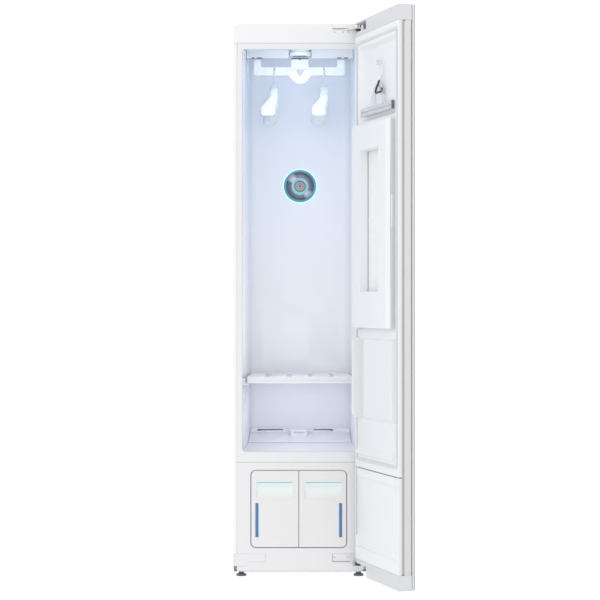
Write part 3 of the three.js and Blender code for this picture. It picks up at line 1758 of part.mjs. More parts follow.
// A door cap: a shell across the door's end, with a housing round the hinge notch and pin bore.
function doorCap(top) {
  const [z0, z1] = top ? [cabinetHeight - capHeight, cabinetHeight] : [0, capHeight];
  const plan = (inset) =>
    outline(
      rectangle(
        [-doorFreeEdge + inset, doorHingeEdge - inset],
        [-glassSeat + clearance + inset, doorInner - inset],
        2 * trimRadius,
      ),
    );
  const hollow = top ? [z0 - overrun, z1 - capWall] : [z0 + capWall, z1 + overrun];
  const notch = top ? [pinNotch, z1 + overrun] : [z0 - overrun, notchDepth];
  const housing = top ? [pinNotch - capWall, z1] : [z0, notchDepth + capWall];
  const body = prism(plan(0), "z", [z0, z1]);
  const around = doorBlock([-doorHingeEdge, notchLength + capWall], [-glassSeat, doorInner], housing);
  const bossHeight = capBoss + capWall;
  const bossZ = top ? [pinNotch - bossHeight, pinNotch] : [notchDepth, notchDepth + bossHeight];
  const [bossLength, bossHalf] = capBossShares.map((share) => capBoss * share);
  const boss = doorBlock([-doorHingeEdge, bossLength], [-bossHalf, bossHalf], bossZ);
  const away = [-doorHingeEdge - overrun, notchLength];
  const room = doorBlock(away, [-notchOuter, doorInner + overrun], notch);
  const bore = rod(hingePinRadius + clearance, [0, 0, bossZ[0] - overrun], [0, 0, bossZ[1] + overrun]);
  const shell = cut(body, prism(plan(capWall), "z", hollow));
  const kept = join([shell, around.intersect(body), boss.intersect(body)]);
  return cut(kept, room, bore);
}

function doorCore() {
  return doorBlock(
    [trimWidth - doorHingeEdge + clearance, doorFreeEdge - trimWidth - clearance],
    [-doorOuter + doorGlass + clearance, coreInner],
    [trimBottom, trimTop],
  ).subtract(
    cut(
      doorBlock([-doorHingeEdge, doorFreeEdge], [-doorOuter, -glassSeat + clearance], [0, cabinetHeight]),
      doorBlock(
        [-doorHingeEdge + glassLip + trimWidth, doorFreeEdge - glassLip - trimWidth],
        [-doorOuter, -glassSeat + overrun],
        [trimBottom, trimTop],
      ),
    ),
  );
}

// A drafted hollow or its outer skin: a rounded rectangle at the mouth, drawn in at the floor.
function pocketSolid([u0, u1], [z0, z1], [mouth, floor], draft, radius) {
  const ring = (inset, y) => {
    const x = [-u1 + inset, -u0 - inset];
    const z = [z0 + inset, z1 - inset];
    const corners = outline(rectangle(x, z, Math.max(radius - inset / 2, seam)));
    return corners.map((p) => new THREE.Vector3(p.x, y, p.y));
  };
  return loft([ring(0, mouth), ring(draft, floor)]);
}

// The upper inner liner: a skin with a turned edge, pockets, trouser guides, drip ledge and peg.
function doorLinerUpper() {
  const [z0, z1] = [linerSplit + linerSeam / 2, trimTop];
  const edge = [-doorHingeEdge, doorFreeEdge];
  const face = doorInner;
  const slab = doorBlock(edge, [linerLip, face], [z0, z1]);
  const wall = doorLinerWall;
  const hollow = doorBlock(
    [edge[0] + wall, edge[1] - wall],
    [linerLip - overrun, face - wall],
    [z0 + wall, z1 - wall],
  );
  const hanger = [
    [pocketHinge, pocketFree],
    [pocketBottom, pocketTop],
    pocketFloor,
    pocketDraft,
    pocketRadius,
  ];
  const press = [
    [pressHinge + pressWell - clearance, pressFree - pressWellEnd],
    [pressBottom + pressWellEnd, pressTop - pressWellEnd],
    pocketFloor,
    0,
    seam,
  ];
  const basin = [
    [basinHinge, basinFree],
    [basinBottom, basinTop],
    basinFloor,
    pocketDraft / 2,
    pocketRadius,
  ];
  const skins = [];
  const rooms = [];
  for (const [u, z, floor, draft, radius] of [hanger, press, basin]) {
    const w = pocketWall;
    const grown = [[u[0] - w, u[1] + w], [z[0] - w, z[1] + w]];
    skins.push(pocketSolid(...grown, [face - wall / 2, floor - w], draft, radius));
    const slope = draft / (face - floor);
    rooms.push(
      pocketSolid(
        [u[0] - slope * overrun, u[1] + slope * overrun],
        [z[0] - slope * overrun, z[1] + slope * overrun],
        [face + overrun, floor],
        draft + slope * overrun,
        radius,
      ),
    );
  }
  const hingeRib = guideRib(guideRibHinge, coverFace);
  const freeRib = guideRib(guideRibFree, guideRibFreeProud);
  const drip = prism(
    outline([
      [face - wall / 2, dripTop],
      [face - wall / 2, dripBottom],
      [dripProud, dripBottom, dripRadius],
      [dripProud, dripBottom + dripEdge, dripRadius],
      [face, dripTop],
    ]),
    "x",
    [-dripFree, -dripHinge],
  );
  const shell = cut(join([cut(slab, hollow), ...skins]), ...rooms);
  const onPeg = (y) => [-pegU, y, pegZ];
  const peg = rod(pegRadius, onPeg(pocketFloor - pocketWall / 2), onPeg(pegProud));
  const pegHead = rod(pegHeadRadius, onPeg(pegProud - pocketWall), onPeg(pegProud));
  return join([shell, hingeRib, freeRib, drip, peg, pegHead]);
}

// A rib that guides the trouser legs below the press, rounded at its top and bottom.
function guideRib(u, proud) {
  const z = [basinBottom, basinTop];
  const root = doorInner - doorLinerWall / 2;
  const side = outline([
    [root, z[0]],
    [proud, z[0] + guideRibWidth, guideRibWidth],
    [proud, z[1], guideRibWidth],
    [root, z[1]],
  ]);
  return prism(side, "x", [-u - guideRibWidth, -u]);
}

function doorLinerLower() {
  const [z0, z1] = [trimBottom, linerSplit - linerSeam / 2];
  const wall = doorLinerWall;
  const slab = doorBlock([-doorHingeEdge, doorFreeEdge], [linerLip, doorInner], [z0, z1]);
  const hollow = doorBlock(
    [-doorHingeEdge + wall, doorFreeEdge - wall],
    [linerLip - overrun, doorInner - wall - lowerInsetDepth],
    [z0 + wall, z1 - wall],
  );
  const inset = pocketSolid(
    [-doorHingeEdge + lowerInsetSide, doorFreeEdge - lowerInsetSide],
    [lowerInsetBottom, lowerInsetTop],
    [doorInner + seam, doorInner - lowerInsetDepth],
    lowerInsetDepth,
    2 * lowerInsetDepth,
  );
  return cut(slab, hollow, inset);
}

function doorGasket() {
  const u = [-doorHingeEdge + gasketHingeInset, doorFreeEdge - gasketFreeInset];
  const y = [doorInner + clearance, doorInner + clearance + gasketHeight];
  const ring = (inset) =>
    outline(
      rectangle(
        [-u[1] + inset, -u[0] - inset],
        [gasketBottom + inset, gasketTop - inset],
        Math.max(pocketRadius - inset, seam),
      ),
    );
  const crown = gasketWidth / 3;
  const outer = prism(ring(0), "y", y);
  const inner = prism(ring(gasketWidth), "y", [y[0] - overrun, y[1] + overrun]);
  const groove = cut(
    prism(ring(crown), "y", [y[1] - gasketHeight / 3, y[1] + overrun]),
    prism(ring(2 * crown), "y", [y[0], y[1] + 2 * overrun]),
  );
  return cut(outer, inner, groove);
}

// The fixed half of the trouser press: a tray sunk in the liner, with ears for the cover's pins.
function pressTray() {
  const u = [pressHinge + pressWell, pressFree - pressWellEnd - clearance];
  const z = [pressBottom + pressWellEnd + clearance, pressTop - pressWellEnd - clearance];
  const body = doorBlock(u, [pocketFloor + clearance, trayProud], z);
  const well = doorBlock(
    [u[0] + trayWall, u[1] - trayWall],
    [trayFloor, trayProud + overrun],
    [z[0] + trayWall, z[1] - trayWall],
  );
  const pieces = [cut(body, well)];
  for (const top of [true, false]) {
    const rim = top ? pressTop + clearance : pressBottom - clearance - earThickness;
    const bridge = top
      ? [z[1] - trayWall, rim + earThickness]
      : [rim, z[0] + trayWall];
    const pinZ = top
      ? [pressTop - coverPinLength, rim + earThickness / 2]
      : [rim + earThickness / 2, pressBottom + coverPinLength];
    const ear = [rim, rim + earThickness];
    const [pinLow, pinHigh] = pinZ.map((z) => [-coverAxisU, coverAxisV, z]);
    pieces.push(doorBlock([webHinge, webFree], [doorInner + clearance, trayProud], bridge));
    pieces.push(doorBlock([earHinge, webFree], [doorInner + clearance, earReach], ear));
    pieces.push(rod(coverPin, pinLow, pinHigh, pinSides));
  }
  return join(pieces);
}

// The hinged half: a shell with a long window framed by deep walls and a chamfered free side.
function pressCover() {
  const z = [pressBottom, pressTop];
  const section = (inset, open) =>
    outline([
      [-pressHinge - inset, coverBack - open],
      [-pressHinge - inset, coverFace - inset, coverRadius],
      [-pressFree + coverChamfer + inset / 2, coverFace - inset, coverRadius / 2],
      [-pressFree + inset, coverEdge - inset, coverRadius / 2],
      [-pressFree + inset, coverBack - open],
    ]);
  const shell = cut(
    prism(section(0, 0), "z", z),
    prism(section(coverWall, overrun), "z", [z[0] + coverWall, z[1] - coverWall]),
  );
  const windowBox = [[coverWindowHinge, coverWindowFree], [coverWindowBottom, coverWindowTop]];
  const grown = windowBox.map(([low, high]) => [low - coverWall, high + coverWall]);
  const surroundDepths = [coverFace - coverWall / 2, coverWindowBack];
  const surround = pocketSolid(...grown, surroundDepths, coverWindowDraft, coverRadius);
  const openingDepths = [coverFace + coverWall, coverWindowBack - coverWall];
  const opening = pocketSolid(...windowBox, openingDepths, coverWindowDraft, coverRadius);
  const bosses = [];
  const bores = [];
  const axis = (height) => [-coverAxisU, coverAxisV, height];
  for (const end of [z[0], z[1]]) {
    const inward = end === z[0] ? 1 : -1;
    const far = end + inward * (coverPinLength + coverWall);
    const span = [end, far].sort((a, b) => a - b);
    const across = [pressHinge + coverWall / 2, 2 * coverAxisU - pressHinge];
    bosses.push(doorBlock(across, [coverBack, coverFace - coverWall / 2], span));
    const boreEnds = [end - inward * overrun, end + inward * (coverPinLength + seam)].map(axis);
    bores.push(rod(coverPin + clearance, ...boreEnds, pinSides));
  }
  const latchSeat = doorBlock(
    [pressFree - latchThickness - latchTravel - clearance, pressFree + overrun],
    [latchInner - clearance, latchOuter + clearance],
    [latchBottom - clearance, latchTop + clearance],
  );
  const latchBox = doorBlock(
    [pressFree - latchThickness - latchTravel - coverWall, pressFree - coverWall / 2],
    [coverBack, coverEdge - coverRadius / 3],
    [latchBottom - coverWall, latchTop + coverWall],
  );
  const pull = doorBlock(
    [pressFree - pullWidth, pressFree + overrun],
    [coverBack - overrun, coverEdge - coverWall],
    [pullBottom, pullTop],
  );
  const solid = join([shell, surround, ...bosses, latchBox]);
  return cut(solid, opening, ...bores, latchSeat, pull.intersect(prism(section(0, 0), "z", z)));
}

function pressLatch() {
  const across = [pressFree - latchThickness, pressFree];
  return doorBlock(across, [latchInner, latchOuter], [latchBottom, latchTop]);
}

// Trouser hanger

// The wire hook: a swan neck from the clear body out to one side and back over the peg.
function trouserHook() {
  const neck = [
    [0, -archTube],
    [0, 0],
    [0, archTube],
  ];
  neckOutShares.forEach((share, i) => {
    const lift = i ? 0 : archTube;
    neck.push([neckSwell * share, lift + neckSwellHeight * neckUpShares[i]]);
  });
  const points = neck.map(([out, up]) => [-trouserU - out, trouserV, archTop + up]);
  const ring = pegRadius + clearance + trouserWire;
  for (let i = 2; i <= hookBends; i += 1) {
    const angle = (i * Math.PI) / hookBends;
    points.push([-pegU - ring * Math.cos(angle), trouserV, pegZ + ring * Math.sin(angle)]);
  }
  return wire(trouserWire, points, trouserHookStations);
}

// The clear body: an arch whose two flat legs stand on the clamp.
function trouserBody() {
  const middle = trouserU;
  const crown = (archFree - archHinge) / 6;
  const foot = jawTop + clearance;
  const corners = [
    [archHinge, foot],
    [archHinge, archTop - archShoulder, archLeg],
    [middle - crown, archTop, archLeg],
    [middle + crown, archTop, archLeg],
    [archFree, archTop - archShoulder, archLeg],
    [archFree, foot],
    [archFree - archLeg, foot],
    [archFree - archLeg, archTop - archInnerShoulder, archLeg],
    [middle + crown, archTop - archLeg, archLeg / 2],
    [middle - crown, archTop - archLeg, archLeg / 2],
    [archHinge + archLeg, archTop - archInnerShoulder, archLeg],
    [archHinge + archLeg, foot],
  ];
  const points = outline(corners).map((p) => new THREE.Vector2(-p.x, p.y));
  const arch = prism(points, "y", [trouserV - archTube, trouserV + archTube], seam);
  const socket = rod(
    trouserWire + clearance,
    [-middle, trouserV, archTop - archTube - clearance],
    [-middle, trouserV, archTop + overrun],
    pinSides,
  );
  return cut(arch, socket);
}

// A jaw of the clamp, with a shallow line along its face and ribs on its grip side.
function trouserJaw(outerFace, innerFace) {
  const faces = [outerFace, innerFace].sort((a, b) => a - b);
  const body = doorBlock([jawHinge, jawFree], faces, [jawBottom, jawTop]);
  const middle = (jawBottom + jawTop) / 2;
  const y = [outerFace - jawRib / 2, outerFace + jawRib / 2];
  const line = doorBlock([jawHinge - overrun, jawFree + overrun], y, [middle - jawRib, middle]);
  return cut(body, line);
}

// The black release lever: a bent rod with its end curled back on itself.
function trouserLever() {
  const u = trouserU + leverOffset;
  const z = archTop + leverRise;
  const elbow = u - leverLean;
  const points = [
    [u, z],
    [u - leverLean * leverLeanShare, z - leverDrop * leverDropShares[0]],
    [elbow, z - leverDrop * leverDropShares[1]],
    [elbow + leverFoot * leverFootShares[0], z - leverDrop * leverDropShares[2]],
    [elbow + leverFoot * leverFootShares[1], z - leverDrop * leverDropShares[3]],
    [elbow + leverFoot, z - leverDrop],
    [elbow + leverFoot * leverFootShares[3], z - leverDrop + leverCurlRise / 2],
    [elbow + leverFoot - leverCurl, z - leverDrop + leverCurlRise],
  ];
  const v = trouserV + archTube + clearance + leverWire;
  return wire(
    leverWire,
    points.map(([out, up]) => [-out, v, up]),
    leverStations,
  );
}

// Assembly
const supplyX = [bayX - bayHalf + tankGap, bayX - clearance];
const drainX = [bayX + clearance, bayX + bayHalf - tankGap];
const supplyWindowX = supplyX[0] + windowInset + windowWidth / 2;
const drainWindowX = drainX[1] - windowInset - windowWidth / 2;

part(cabinet, "base_pan", basePan(), galvanised);
part(cabinet, "foot_front_left", levellingFoot(-footX), black);
part(cabinet, "foot_front_right", levellingFoot(footX), black);
part(cabinet, "side_panel_left", sidePanel(-1), white);
part(cabinet, "side_panel_right", sidePanel(1), white);
part(cabinet, "rear_panel", rearPanel(), galvanised);
part(cabinet, "top_cover", topCover(), white);
part(cabinet, "header_fascia", header(), white);
part(cabinet, "front_frame", frontFrame(), gloss);
part(cabinet, "lower_fascia", lowerFascia(), gloss);
part(cabinet, "hinge_blank_cover", hingeBlankCover(), gloss);
part(cabinet, "cavity_liner", cavityLiner(), liner);
part(cabinet, "cavity_floor", cavityFloor(), liner);
part(cabinet, "cavity_ceiling", cavityCeiling(), liner);
part(cabinet, "air_inlet_cover", airInletCover(), liner);
part(cabinet, "vent_light_ring", ventLightRing(), teal);
part(cabinet, "vent_dish", ventDish(), darkSteel);
part(cabinet, "vent_grille", ventGrille(), teal);
part(cabinet, "rear_air_duct", rearDuct(), foam);
part(cabinet, "lamp_lens", lampLens(), smoke);
part(cabinet, "drive_flange", driveFlange(), gloss);
part(cabinet, "drive_motor", driveMotor(), galvanised);
part(cabinet, "drive_crank", driveCrank(), steel);
part(cabinet, "hanger_bar", hangerBar(), gloss);
part(cabinet, "coat_hanger_left", coatHanger(barX - notchX), gloss);
part(cabinet, "coat_hook_left", coatHook(barX - notchX), steel);
part(cabinet, "coat_hanger_right", coatHanger(barX + notchX), gloss);
part(cabinet, "coat_hook_right", coatHook(barX + notchX), steel);
part(cabinet, "shelf", shelf(), liner);
part(cabinet, "tank_bay", tankBay(), grey);
part(cabinet, "supply_tank_front", tankFront(supplyX, supplyWindowX, -1), gloss);
part(cabinet, "supply_tank_body", tankBody(supplyX), smoke);
part(cabinet, "supply_tank_window", tankWindow(supplyWindowX), blue);
part(cabinet, "drain_tank_front", tankFront(drainX, drainWindowX, 1), gloss);
part(cabinet, "drain_tank_body", tankBody(drainX), smoke);
part(cabinet, "drain_tank_window", tankWindow(drainWindowX), blue);
part(cabinet, "hinge_bracket_upper", upperHinge(), steel);
part(cabinet, "hinge_bracket_lower", lowerHinge(), steel);
part(cabinet, "compressor", compressor(), black);
part(cabinet, "heat_exchanger", heatExchanger(), copper);
part(cabinet, "steam_generator", steamGenerator(), grey);
part(cabinet, "blower_housing", blowerHousing(), grey);
part(cabinet, "blower_impeller", impeller(), black);

const door = new THREE.Group();
door.position.set(hingeX, hingeY, 0);
door.rotation.z = THREE.MathUtils.degToRad(doorOpenDegrees);
cabinet.add(door);

part(door, "door_front_panel", doorFrontPanel(), gloss);
part(door, "door_trim_free", doorTrim(false), silver);
part(door, "door_trim_hinge", doorTrim(true), silver);
part(door, "door_cap_top", doorCap(true), white);
part(door, "door_cap_bottom", doorCap(false), white);
part(door, "door_core", doorCore(), foam);
part(door, "door_liner_upper", doorLinerUpper(), gloss);
part(door, "door_liner_lower", doorLinerLower(), gloss);
part(door, "door_gasket", doorGasket(), rubber);
part(door, "press_tray", pressTray(), liner);
part(door, "press_cover", pressCover(), gloss);
part(door, "press_latch", pressLatch(), grey);
part(door, "trouser_hook", trouserHook(), steel);
part(door, "trouser_body", trouserBody(), smoke);
part(door, "trouser_jaw_front", trouserJaw(jawFace, jawGrip), grey);
part(door, "trouser_jaw_rear", trouserJaw(jawRear, jawGrip - jawGap), grey);
part(door, "trouser_lever", trouserLever(), black);

export default cabinet;
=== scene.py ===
import math

import bmesh
import bpy
from bmesh.types import BMEdge, BMFace, BMVert
from mathutils import Matrix, Vector


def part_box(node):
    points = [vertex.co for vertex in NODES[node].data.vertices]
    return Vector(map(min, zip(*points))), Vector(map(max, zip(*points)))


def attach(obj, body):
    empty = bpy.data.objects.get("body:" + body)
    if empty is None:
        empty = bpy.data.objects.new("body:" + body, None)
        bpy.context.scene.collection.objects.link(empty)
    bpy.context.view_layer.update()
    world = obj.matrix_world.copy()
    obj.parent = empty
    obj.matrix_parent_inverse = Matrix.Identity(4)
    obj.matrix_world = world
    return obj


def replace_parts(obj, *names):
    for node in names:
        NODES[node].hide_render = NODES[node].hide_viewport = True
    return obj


# Clothes care steam cabinet: finishes, fine pieces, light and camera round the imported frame.
# Finishes, lights and camera are measured in metres, the fine pieces in millimetres.
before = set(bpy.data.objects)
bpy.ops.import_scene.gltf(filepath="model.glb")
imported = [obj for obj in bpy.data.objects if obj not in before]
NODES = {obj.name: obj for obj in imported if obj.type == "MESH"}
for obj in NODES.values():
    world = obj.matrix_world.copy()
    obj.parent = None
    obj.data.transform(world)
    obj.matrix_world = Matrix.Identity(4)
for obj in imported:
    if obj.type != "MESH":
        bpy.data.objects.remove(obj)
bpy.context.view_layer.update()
MM = 0.001

# Places that the finishes and pieces share, in metres
FRONT = -0.264
BACK_WALL = 0.216
FLOOR_Z = -0.018
VENT = Vector((0, BACK_WALL, 1.317))
HINGE = Vector((0.2105, -0.2915, 0))
DOOR_ANGLE = math.radians(106)
DOOR = Matrix.Translation(HINGE) @ Matrix.Rotation(DOOR_ANGLE, 4, "Z")
DOOR_OUTWARDS = (math.sin(DOOR_ANGLE), -math.cos(DOOR_ANGLE), 0)
DOOR_ACROSS = (-math.cos(DOOR_ANGLE), -math.sin(DOOR_ANGLE), 0)

# Depth of the hanger bar, and of the door liner's flange inwards of the hinge axis, in millimetres
BAR_Y = -24
FLANGE = 24

# Bodies that ride on the door: their pieces are measured on the shut door and turned with it
ON_DOOR = ("door", "press_cover", "trouser_hanger", "trouser_jaw", "trouser_lever")

# Grain of noise in cells to the metre, and depths of relief in metres
COARSE_SPARK = 900
MIDDLE_SPARK = 1100
FINE_SPARK = 1500
FLOW_MARKS = 14
SPARK_DEPTH = 0.00004
FLOW_DEPTH = 0.0003


# Shader maths


class Value:
    """A socket of a finish; each Python operation on it adds one Math node."""

    def __init__(self, finish, socket):
        self.finish = finish
        self.socket = socket

    def out(self, name):
        return Value(self.finish, self.socket.node.outputs[name])

    def math(self, operation, *values):
        return self.finish.node("Math", values, operation=operation)

    def __add__(self, other):
        return self.math("ADD", self, other)

    def __radd__(self, other):
        return self.math("ADD", other, self)

    def __sub__(self, other):
        return self.math("SUBTRACT", self, other)

    def __rsub__(self, other):
        return self.math("SUBTRACT", other, self)

    def __mul__(self, other):
        return self.math("MULTIPLY", self, other)

    def __rmul__(self, other):
        return self.math("MULTIPLY", other, self)

    def __truediv__(self, other):
        return self.math("DIVIDE", self, other)

    def __pow__(self, other):
        return self.math("POWER", self, other)

    def __neg__(self):
        return self.math("MULTIPLY", self, -1)

    def sine(self):
        return self.math("SINE", self)

    def size(self):
        return self.math("ABSOLUTE", self)

    def most(self, other):
        return self.math("MAXIMUM", self, other)

    def above(self, low, high):
        """0 below low, 1 above high, smooth between."""
        inputs = {"Value": self, "From Min": low, "From Max": high}
        return self.finish.node("MapRange", inputs, interpolation_type="SMOOTHSTEP")

    def within(self, low, low_end, high_end, high):
        """1 from low_end to high_end, 0 beyond low and high, smooth between."""
        return self.above(low, low_end) * (1 - self.above(high_end, high))


class Finish:
    """A material: its nodes are added by name, and surface() ends it."""

    def __init__(self, name):
        self.material = bpy.data.materials.new(name)
        self.material.use_nodes = True
        self.tree = self.material.node_tree
        self.tree.nodes.clear()
        self.place = self.node("TexCoord", out="Object")

    def node(self, kind, inputs=(), out=0, **settings):
        """Adds a node: its settings first, then the values or links of its sockets."""
        node = self.tree.nodes.new("ShaderNode" + kind)
        for name, value in settings.items():
            setattr(node, name, value)
        for name, value in inputs.items() if isinstance(inputs, dict) else enumerate(inputs):
            self.feed(node.inputs[name], value)
        return Value(self, node.outputs[out]) if node.outputs else None

    def feed(self, socket, value):
        if isinstance(value, Value):
            self.tree.links.new(value.socket, socket)
        elif socket.type == "RGBA":
            socket.default_value = (*value, 1)
        else:
            socket.default_value = value

    def axis(self, name):
        return self.node("SeparateXYZ", {"Vector": self.place}, out=name)

    def from_hinge(self, direction):
        """How far a point of the door lies from the hinge axis along a direction."""
        away = self.node("VectorMath", [self.place, tuple(HINGE)], operation="SUBTRACT")
        return self.node("VectorMath", [away, direction], out="Value", operation="DOT_PRODUCT")

    def turned(self, centre=(0, 0, 0), angles=(0, 0, 0), scale=(1, 1, 1)):
        """The piece's own coordinates about a centre, turned and stretched."""
        moved = self.node("VectorMath", [self.place, tuple(centre)], operation="SUBTRACT")
        return self.node("Mapping", {"Vector": moved, "Rotation": angles, "Scale": scale})

    def about(self, centre, first, second):
        """Distances of a point from a centre: along two axes, and straight."""
        split = self.node("SeparateXYZ", {"Vector": self.turned(centre)})
        a, b = split.out(first), split.out(second)
        return a, b, (a * a + b * b) ** 0.5

    def noise(self, scale, detail=2, rough=0.5, place=None, distortion=0):
        inputs = {
            "Vector": place or self.place,
            "Scale": scale,
            "Detail": detail,
            "Roughness": rough,
            "Distortion": distortion,
        }
        return self.node("TexNoise", inputs, out="Fac")

    def cells(self, scale, out="Color"):
        return self.node("TexVoronoi", {"Vector": self.place, "Scale": scale}, out=out)

    def mix(self, share, a, b):
        return self.node("Mix", {0: share, 6: a, 7: b}, out=2, data_type="RGBA")

    def tint(self, colour, spread, scale=6, detail=3):
        """A colour that drifts a little, as mouldings and paint do."""
        light = tuple(min(1, c * (1 + spread)) for c in colour)
        dark = tuple(c * (1 - spread) for c in colour)
        return self.mix(self.noise(scale, detail), dark, light)

    def bump(self, height, depth, strength, under=None):
        inputs = {"Height": height, "Distance": depth, "Strength": strength}
        if under:
            inputs["Normal"] = under
        return self.node("Bump", inputs)

    def surface(self, **inputs):
        """Ends the finish with a Principled surface; names are its sockets with _ for a space."""
        sockets = {name.replace("_", " "): value for name, value in inputs.items()}
        self.node("OutputMaterial", {"Surface": self.node("BsdfPrincipled", sockets)})
        return self.material

    def moulded(self, colour, rough, grain, cloud=None, **more):
        """Ends the finish as moulded plastic: fine spark grain, slow flow marks, uneven gloss.
        A cloud is a share of the flow marks and the colour that they take."""
        spark = self.noise(grain, 2, 0.6)
        flow = self.noise(FLOW_MARKS, 3, 0.55, distortion=1.5)
        if cloud:
            share, shade = cloud
            colour = self.mix(flow * share, colour, shade)
        return self.surface(
            Base_Color=colour,
            Roughness=rough + flow * 0.1 + spark * 0.05,
            Normal=self.bump(spark, SPARK_DEPTH, 0.7, self.bump(flow, FLOW_DEPTH, 0.25)),
            Coat_Weight=0.15,
            Coat_Roughness=0.12,
            **more,
        )


# Finishes


def fronted(name, face, sides_in_shade, rough):
    """An enamelled shell: front face light, sides and top behind it darker as painted shade."""
    f = Finish(name)
    peel = f.noise(620, 2)
    smudge = f.noise(9, 4, 0.6).above(0.35, 0.75)
    shaded_sides = f.axis("Y").above(FRONT + 0.0015, FRONT + 0.0025)
    return f.surface(
        Base_Color=f.mix(f.noise(3, 3) * 0.025, f.mix(shaded_sides, face, sides_in_shade), (0.6, 0.6, 0.62)),
        Roughness=rough + smudge * 0.07 + peel * 0.03,
        Normal=f.bump(peel, 0.00006, 0.6),
        Coat_Weight=0.2,
        Coat_Roughness=0.18,
    )


def moulding(name, colour, rough=0.3, grain=FINE_SPARK, drift=0.01):
    """Moulded plastic of one colour."""
    f = Finish(name)
    return f.moulded(f.tint(colour, drift, 7), rough - 0.04, grain)


def cavity_moulding(name, under, low, middle, high):
    """The cavity's moulding: near white low down, with painted shade under the shelf and painted
    blue lamp light cooler towards the lamp.
    """
    f = Finish(name)
    height = f.axis("Z")
    colour = f.mix(height.above(0.62, 0.66), under, low)
    colour = f.mix(height.above(0.78, 1.1), colour, middle)
    colour = f.mix(height.above(1.2, 1.62), colour, high)
    return f.moulded(colour, 0.34, COARSE_SPARK, (0.04, (0.7, 0.7, 0.72)))


def door_moulding(name, colour, edge, wall_shade):
    """The door liner's moulding: greyer along its free edge, and painted shade on the basin's
    hinge-side wall.
    """
    f = Finish(name)
    across, inwards = f.from_hinge(DOOR_ACROSS), -f.from_hinge(DOOR_OUTWARDS)
    height = f.axis("Z")
    free = across.above(0.42, 0.421) * (1 - inwards.above(0.0222, 0.0232))
    shaded_wall = across.within(0.034, 0.038, 0.05, 0.058) * height.within(0.50, 0.53, 0.77, 0.79)
    shaded_wall = shaded_wall * (1 - inwards.above(0.0455, 0.047))
    colour = f.mix(shaded_wall, f.mix(free, colour, edge), wall_shade)
    return f.moulded(colour, 0.32, COARSE_SPARK, (0.05, (0.78, 0.78, 0.8)))


def tank_front(name, colour):
    """A tank's front: white, with the lamps' pale blue light painted as a glow in its finger
    recess.
    """
    f = Finish(name)
    inside = f.axis("Y").within(-0.2628, -0.2615, -0.243, -0.241)
    near_lamp = f.axis("Z").above(0.238, 0.296)
    return f.moulded(
        f.tint(colour, 0.01, 7),
        0.26,
        FINE_SPARK,
        Emission_Color=f.mix(inside * near_lamp, (0.0, 0.0, 0.0), (0.80, 0.96, 1.0)),
        Emission_Strength=0.2,
    )


def galvanised(name):
    """Zinc-coated sheet: spangle of flat crystals and dull streaks."""
    f = Finish(name)
    tone = f.node("RGBToBW", {"Color": f.cells(110)})
    streak = f.noise(25, 3, place=f.turned(scale=(1, 1, 0.12)))
    return f.surface(
        Base_Color=f.mix(tone * 0.7 + streak * 0.3, (0.50, 0.52, 0.54), (0.70, 0.72, 0.73)),
        Metallic=0.85,
        Roughness=0.36 + tone * 0.12 + streak * 0.08,
        Normal=f.bump(tone, 0.00005, 0.4),
    )


def brushed(name, colour, along, rough=0.28, dirt=0.0):
    """Metal with fine straight brushing along one axis (stretch given per axis)."""
    f = Finish(name)
    lines = f.noise(900, 3, 0.7, place=f.turned(scale=along))
    cloud = f.noise(30, 3)
    return f.surface(
        Base_Color=f.mix(lines * 0.6 + cloud * 0.4, tuple(c * 0.86 for c in colour), colour),
        Metallic=1.0,
        Roughness=rough + lines * 0.14 + cloud * (0.05 + dirt),
        Normal=f.bump(lines, SPARK_DEPTH, 0.5),
    )


def chromed(name, colour=(0.78, 0.79, 0.8)):
    """Bright plating with hairlines and a slight haze."""
    f = Finish(name)
    haze = f.noise(60, 3)
    hair = f.noise(700, 2, place=f.turned(scale=(1, 1, 0.1)))
    return f.surface(
        Base_Color=f.tint(colour, 0.05, 40),
        Metallic=1.0,
        Roughness=0.08 + haze * 0.1 + hair * 0.05,
        Normal=f.bump(hair, 0.00002, 0.3),
    )


def lit_ring(name, teal, blue, power):
    """The vent's lit ring: teal, blue towards the right, darker towards its inner edge as painted
    shade.
    """
    f = Finish(name)
    x, _, radius = f.about(VENT, "X", "Z")
    side = (x / radius.most(0.001)).above(0.35, 0.95)
    inner = 1 - radius.above(0.050, 0.0545)
    cloud = f.noise(90, 2)
    glow = f.mix(side, teal, blue)
    return f.surface(
        Base_Color=f.mix(inner * 0.55 + cloud * 0.1, glow, (0.09, 0.13, 0.27)),
        Roughness=0.32 + cloud * 0.1,
        Emission_Color=f.mix(inner * 0.7, glow, (0.05, 0.07, 0.16)),
        Emission_Strength=power,
        Normal=f.bump(f.noise(900, 2), 0.00003, 0.5),
    )


def spun_dish(name):
    """The vent's dish: spun metal with fine rings, a mauve cast and two paler fans across it,
    painted highlights.
    """
    f = Finish(name)
    x, z, radius = f.about(VENT, "X", "Z")
    rings = (radius * 5200).sine()
    diagonal = (z - x) * math.sqrt(0.5)
    highlight_fans = (diagonal / radius.most(0.001)).size().above(0.9, 0.995)
    grain = f.noise(400, 3)
    cast = f.noise(60, 2).above(0.4, 0.65)
    dark = f.mix(cast, (0.14, 0.18, 0.215), (0.20, 0.20, 0.275))
    return f.surface(
        Base_Color=f.mix(highlight_fans * 0.8 + grain * 0.12 + rings * 0.05, dark, (0.74, 0.72, 0.80)),
        Metallic=0.75,
        Roughness=0.3 + grain * 0.12 + rings * 0.04,
        Normal=f.bump(rings, 0.00006, 0.5),
    )


def lit(name, base, glow, power, rough=0.35):
    """A diffuser with light behind it, a little uneven as such parts are."""
    f = Finish(name)
    cloud = f.noise(70, 2)
    return f.surface(
        Base_Color=f.tint(base, 0.03, 30),
        Roughness=rough + cloud * 0.1,
        Emission_Color=f.mix(cloud, tuple(c * 0.88 for c in glow), glow),
        Emission_Strength=power,
        Normal=f.bump(f.noise(900, 2), 0.00003, 0.5),
    )


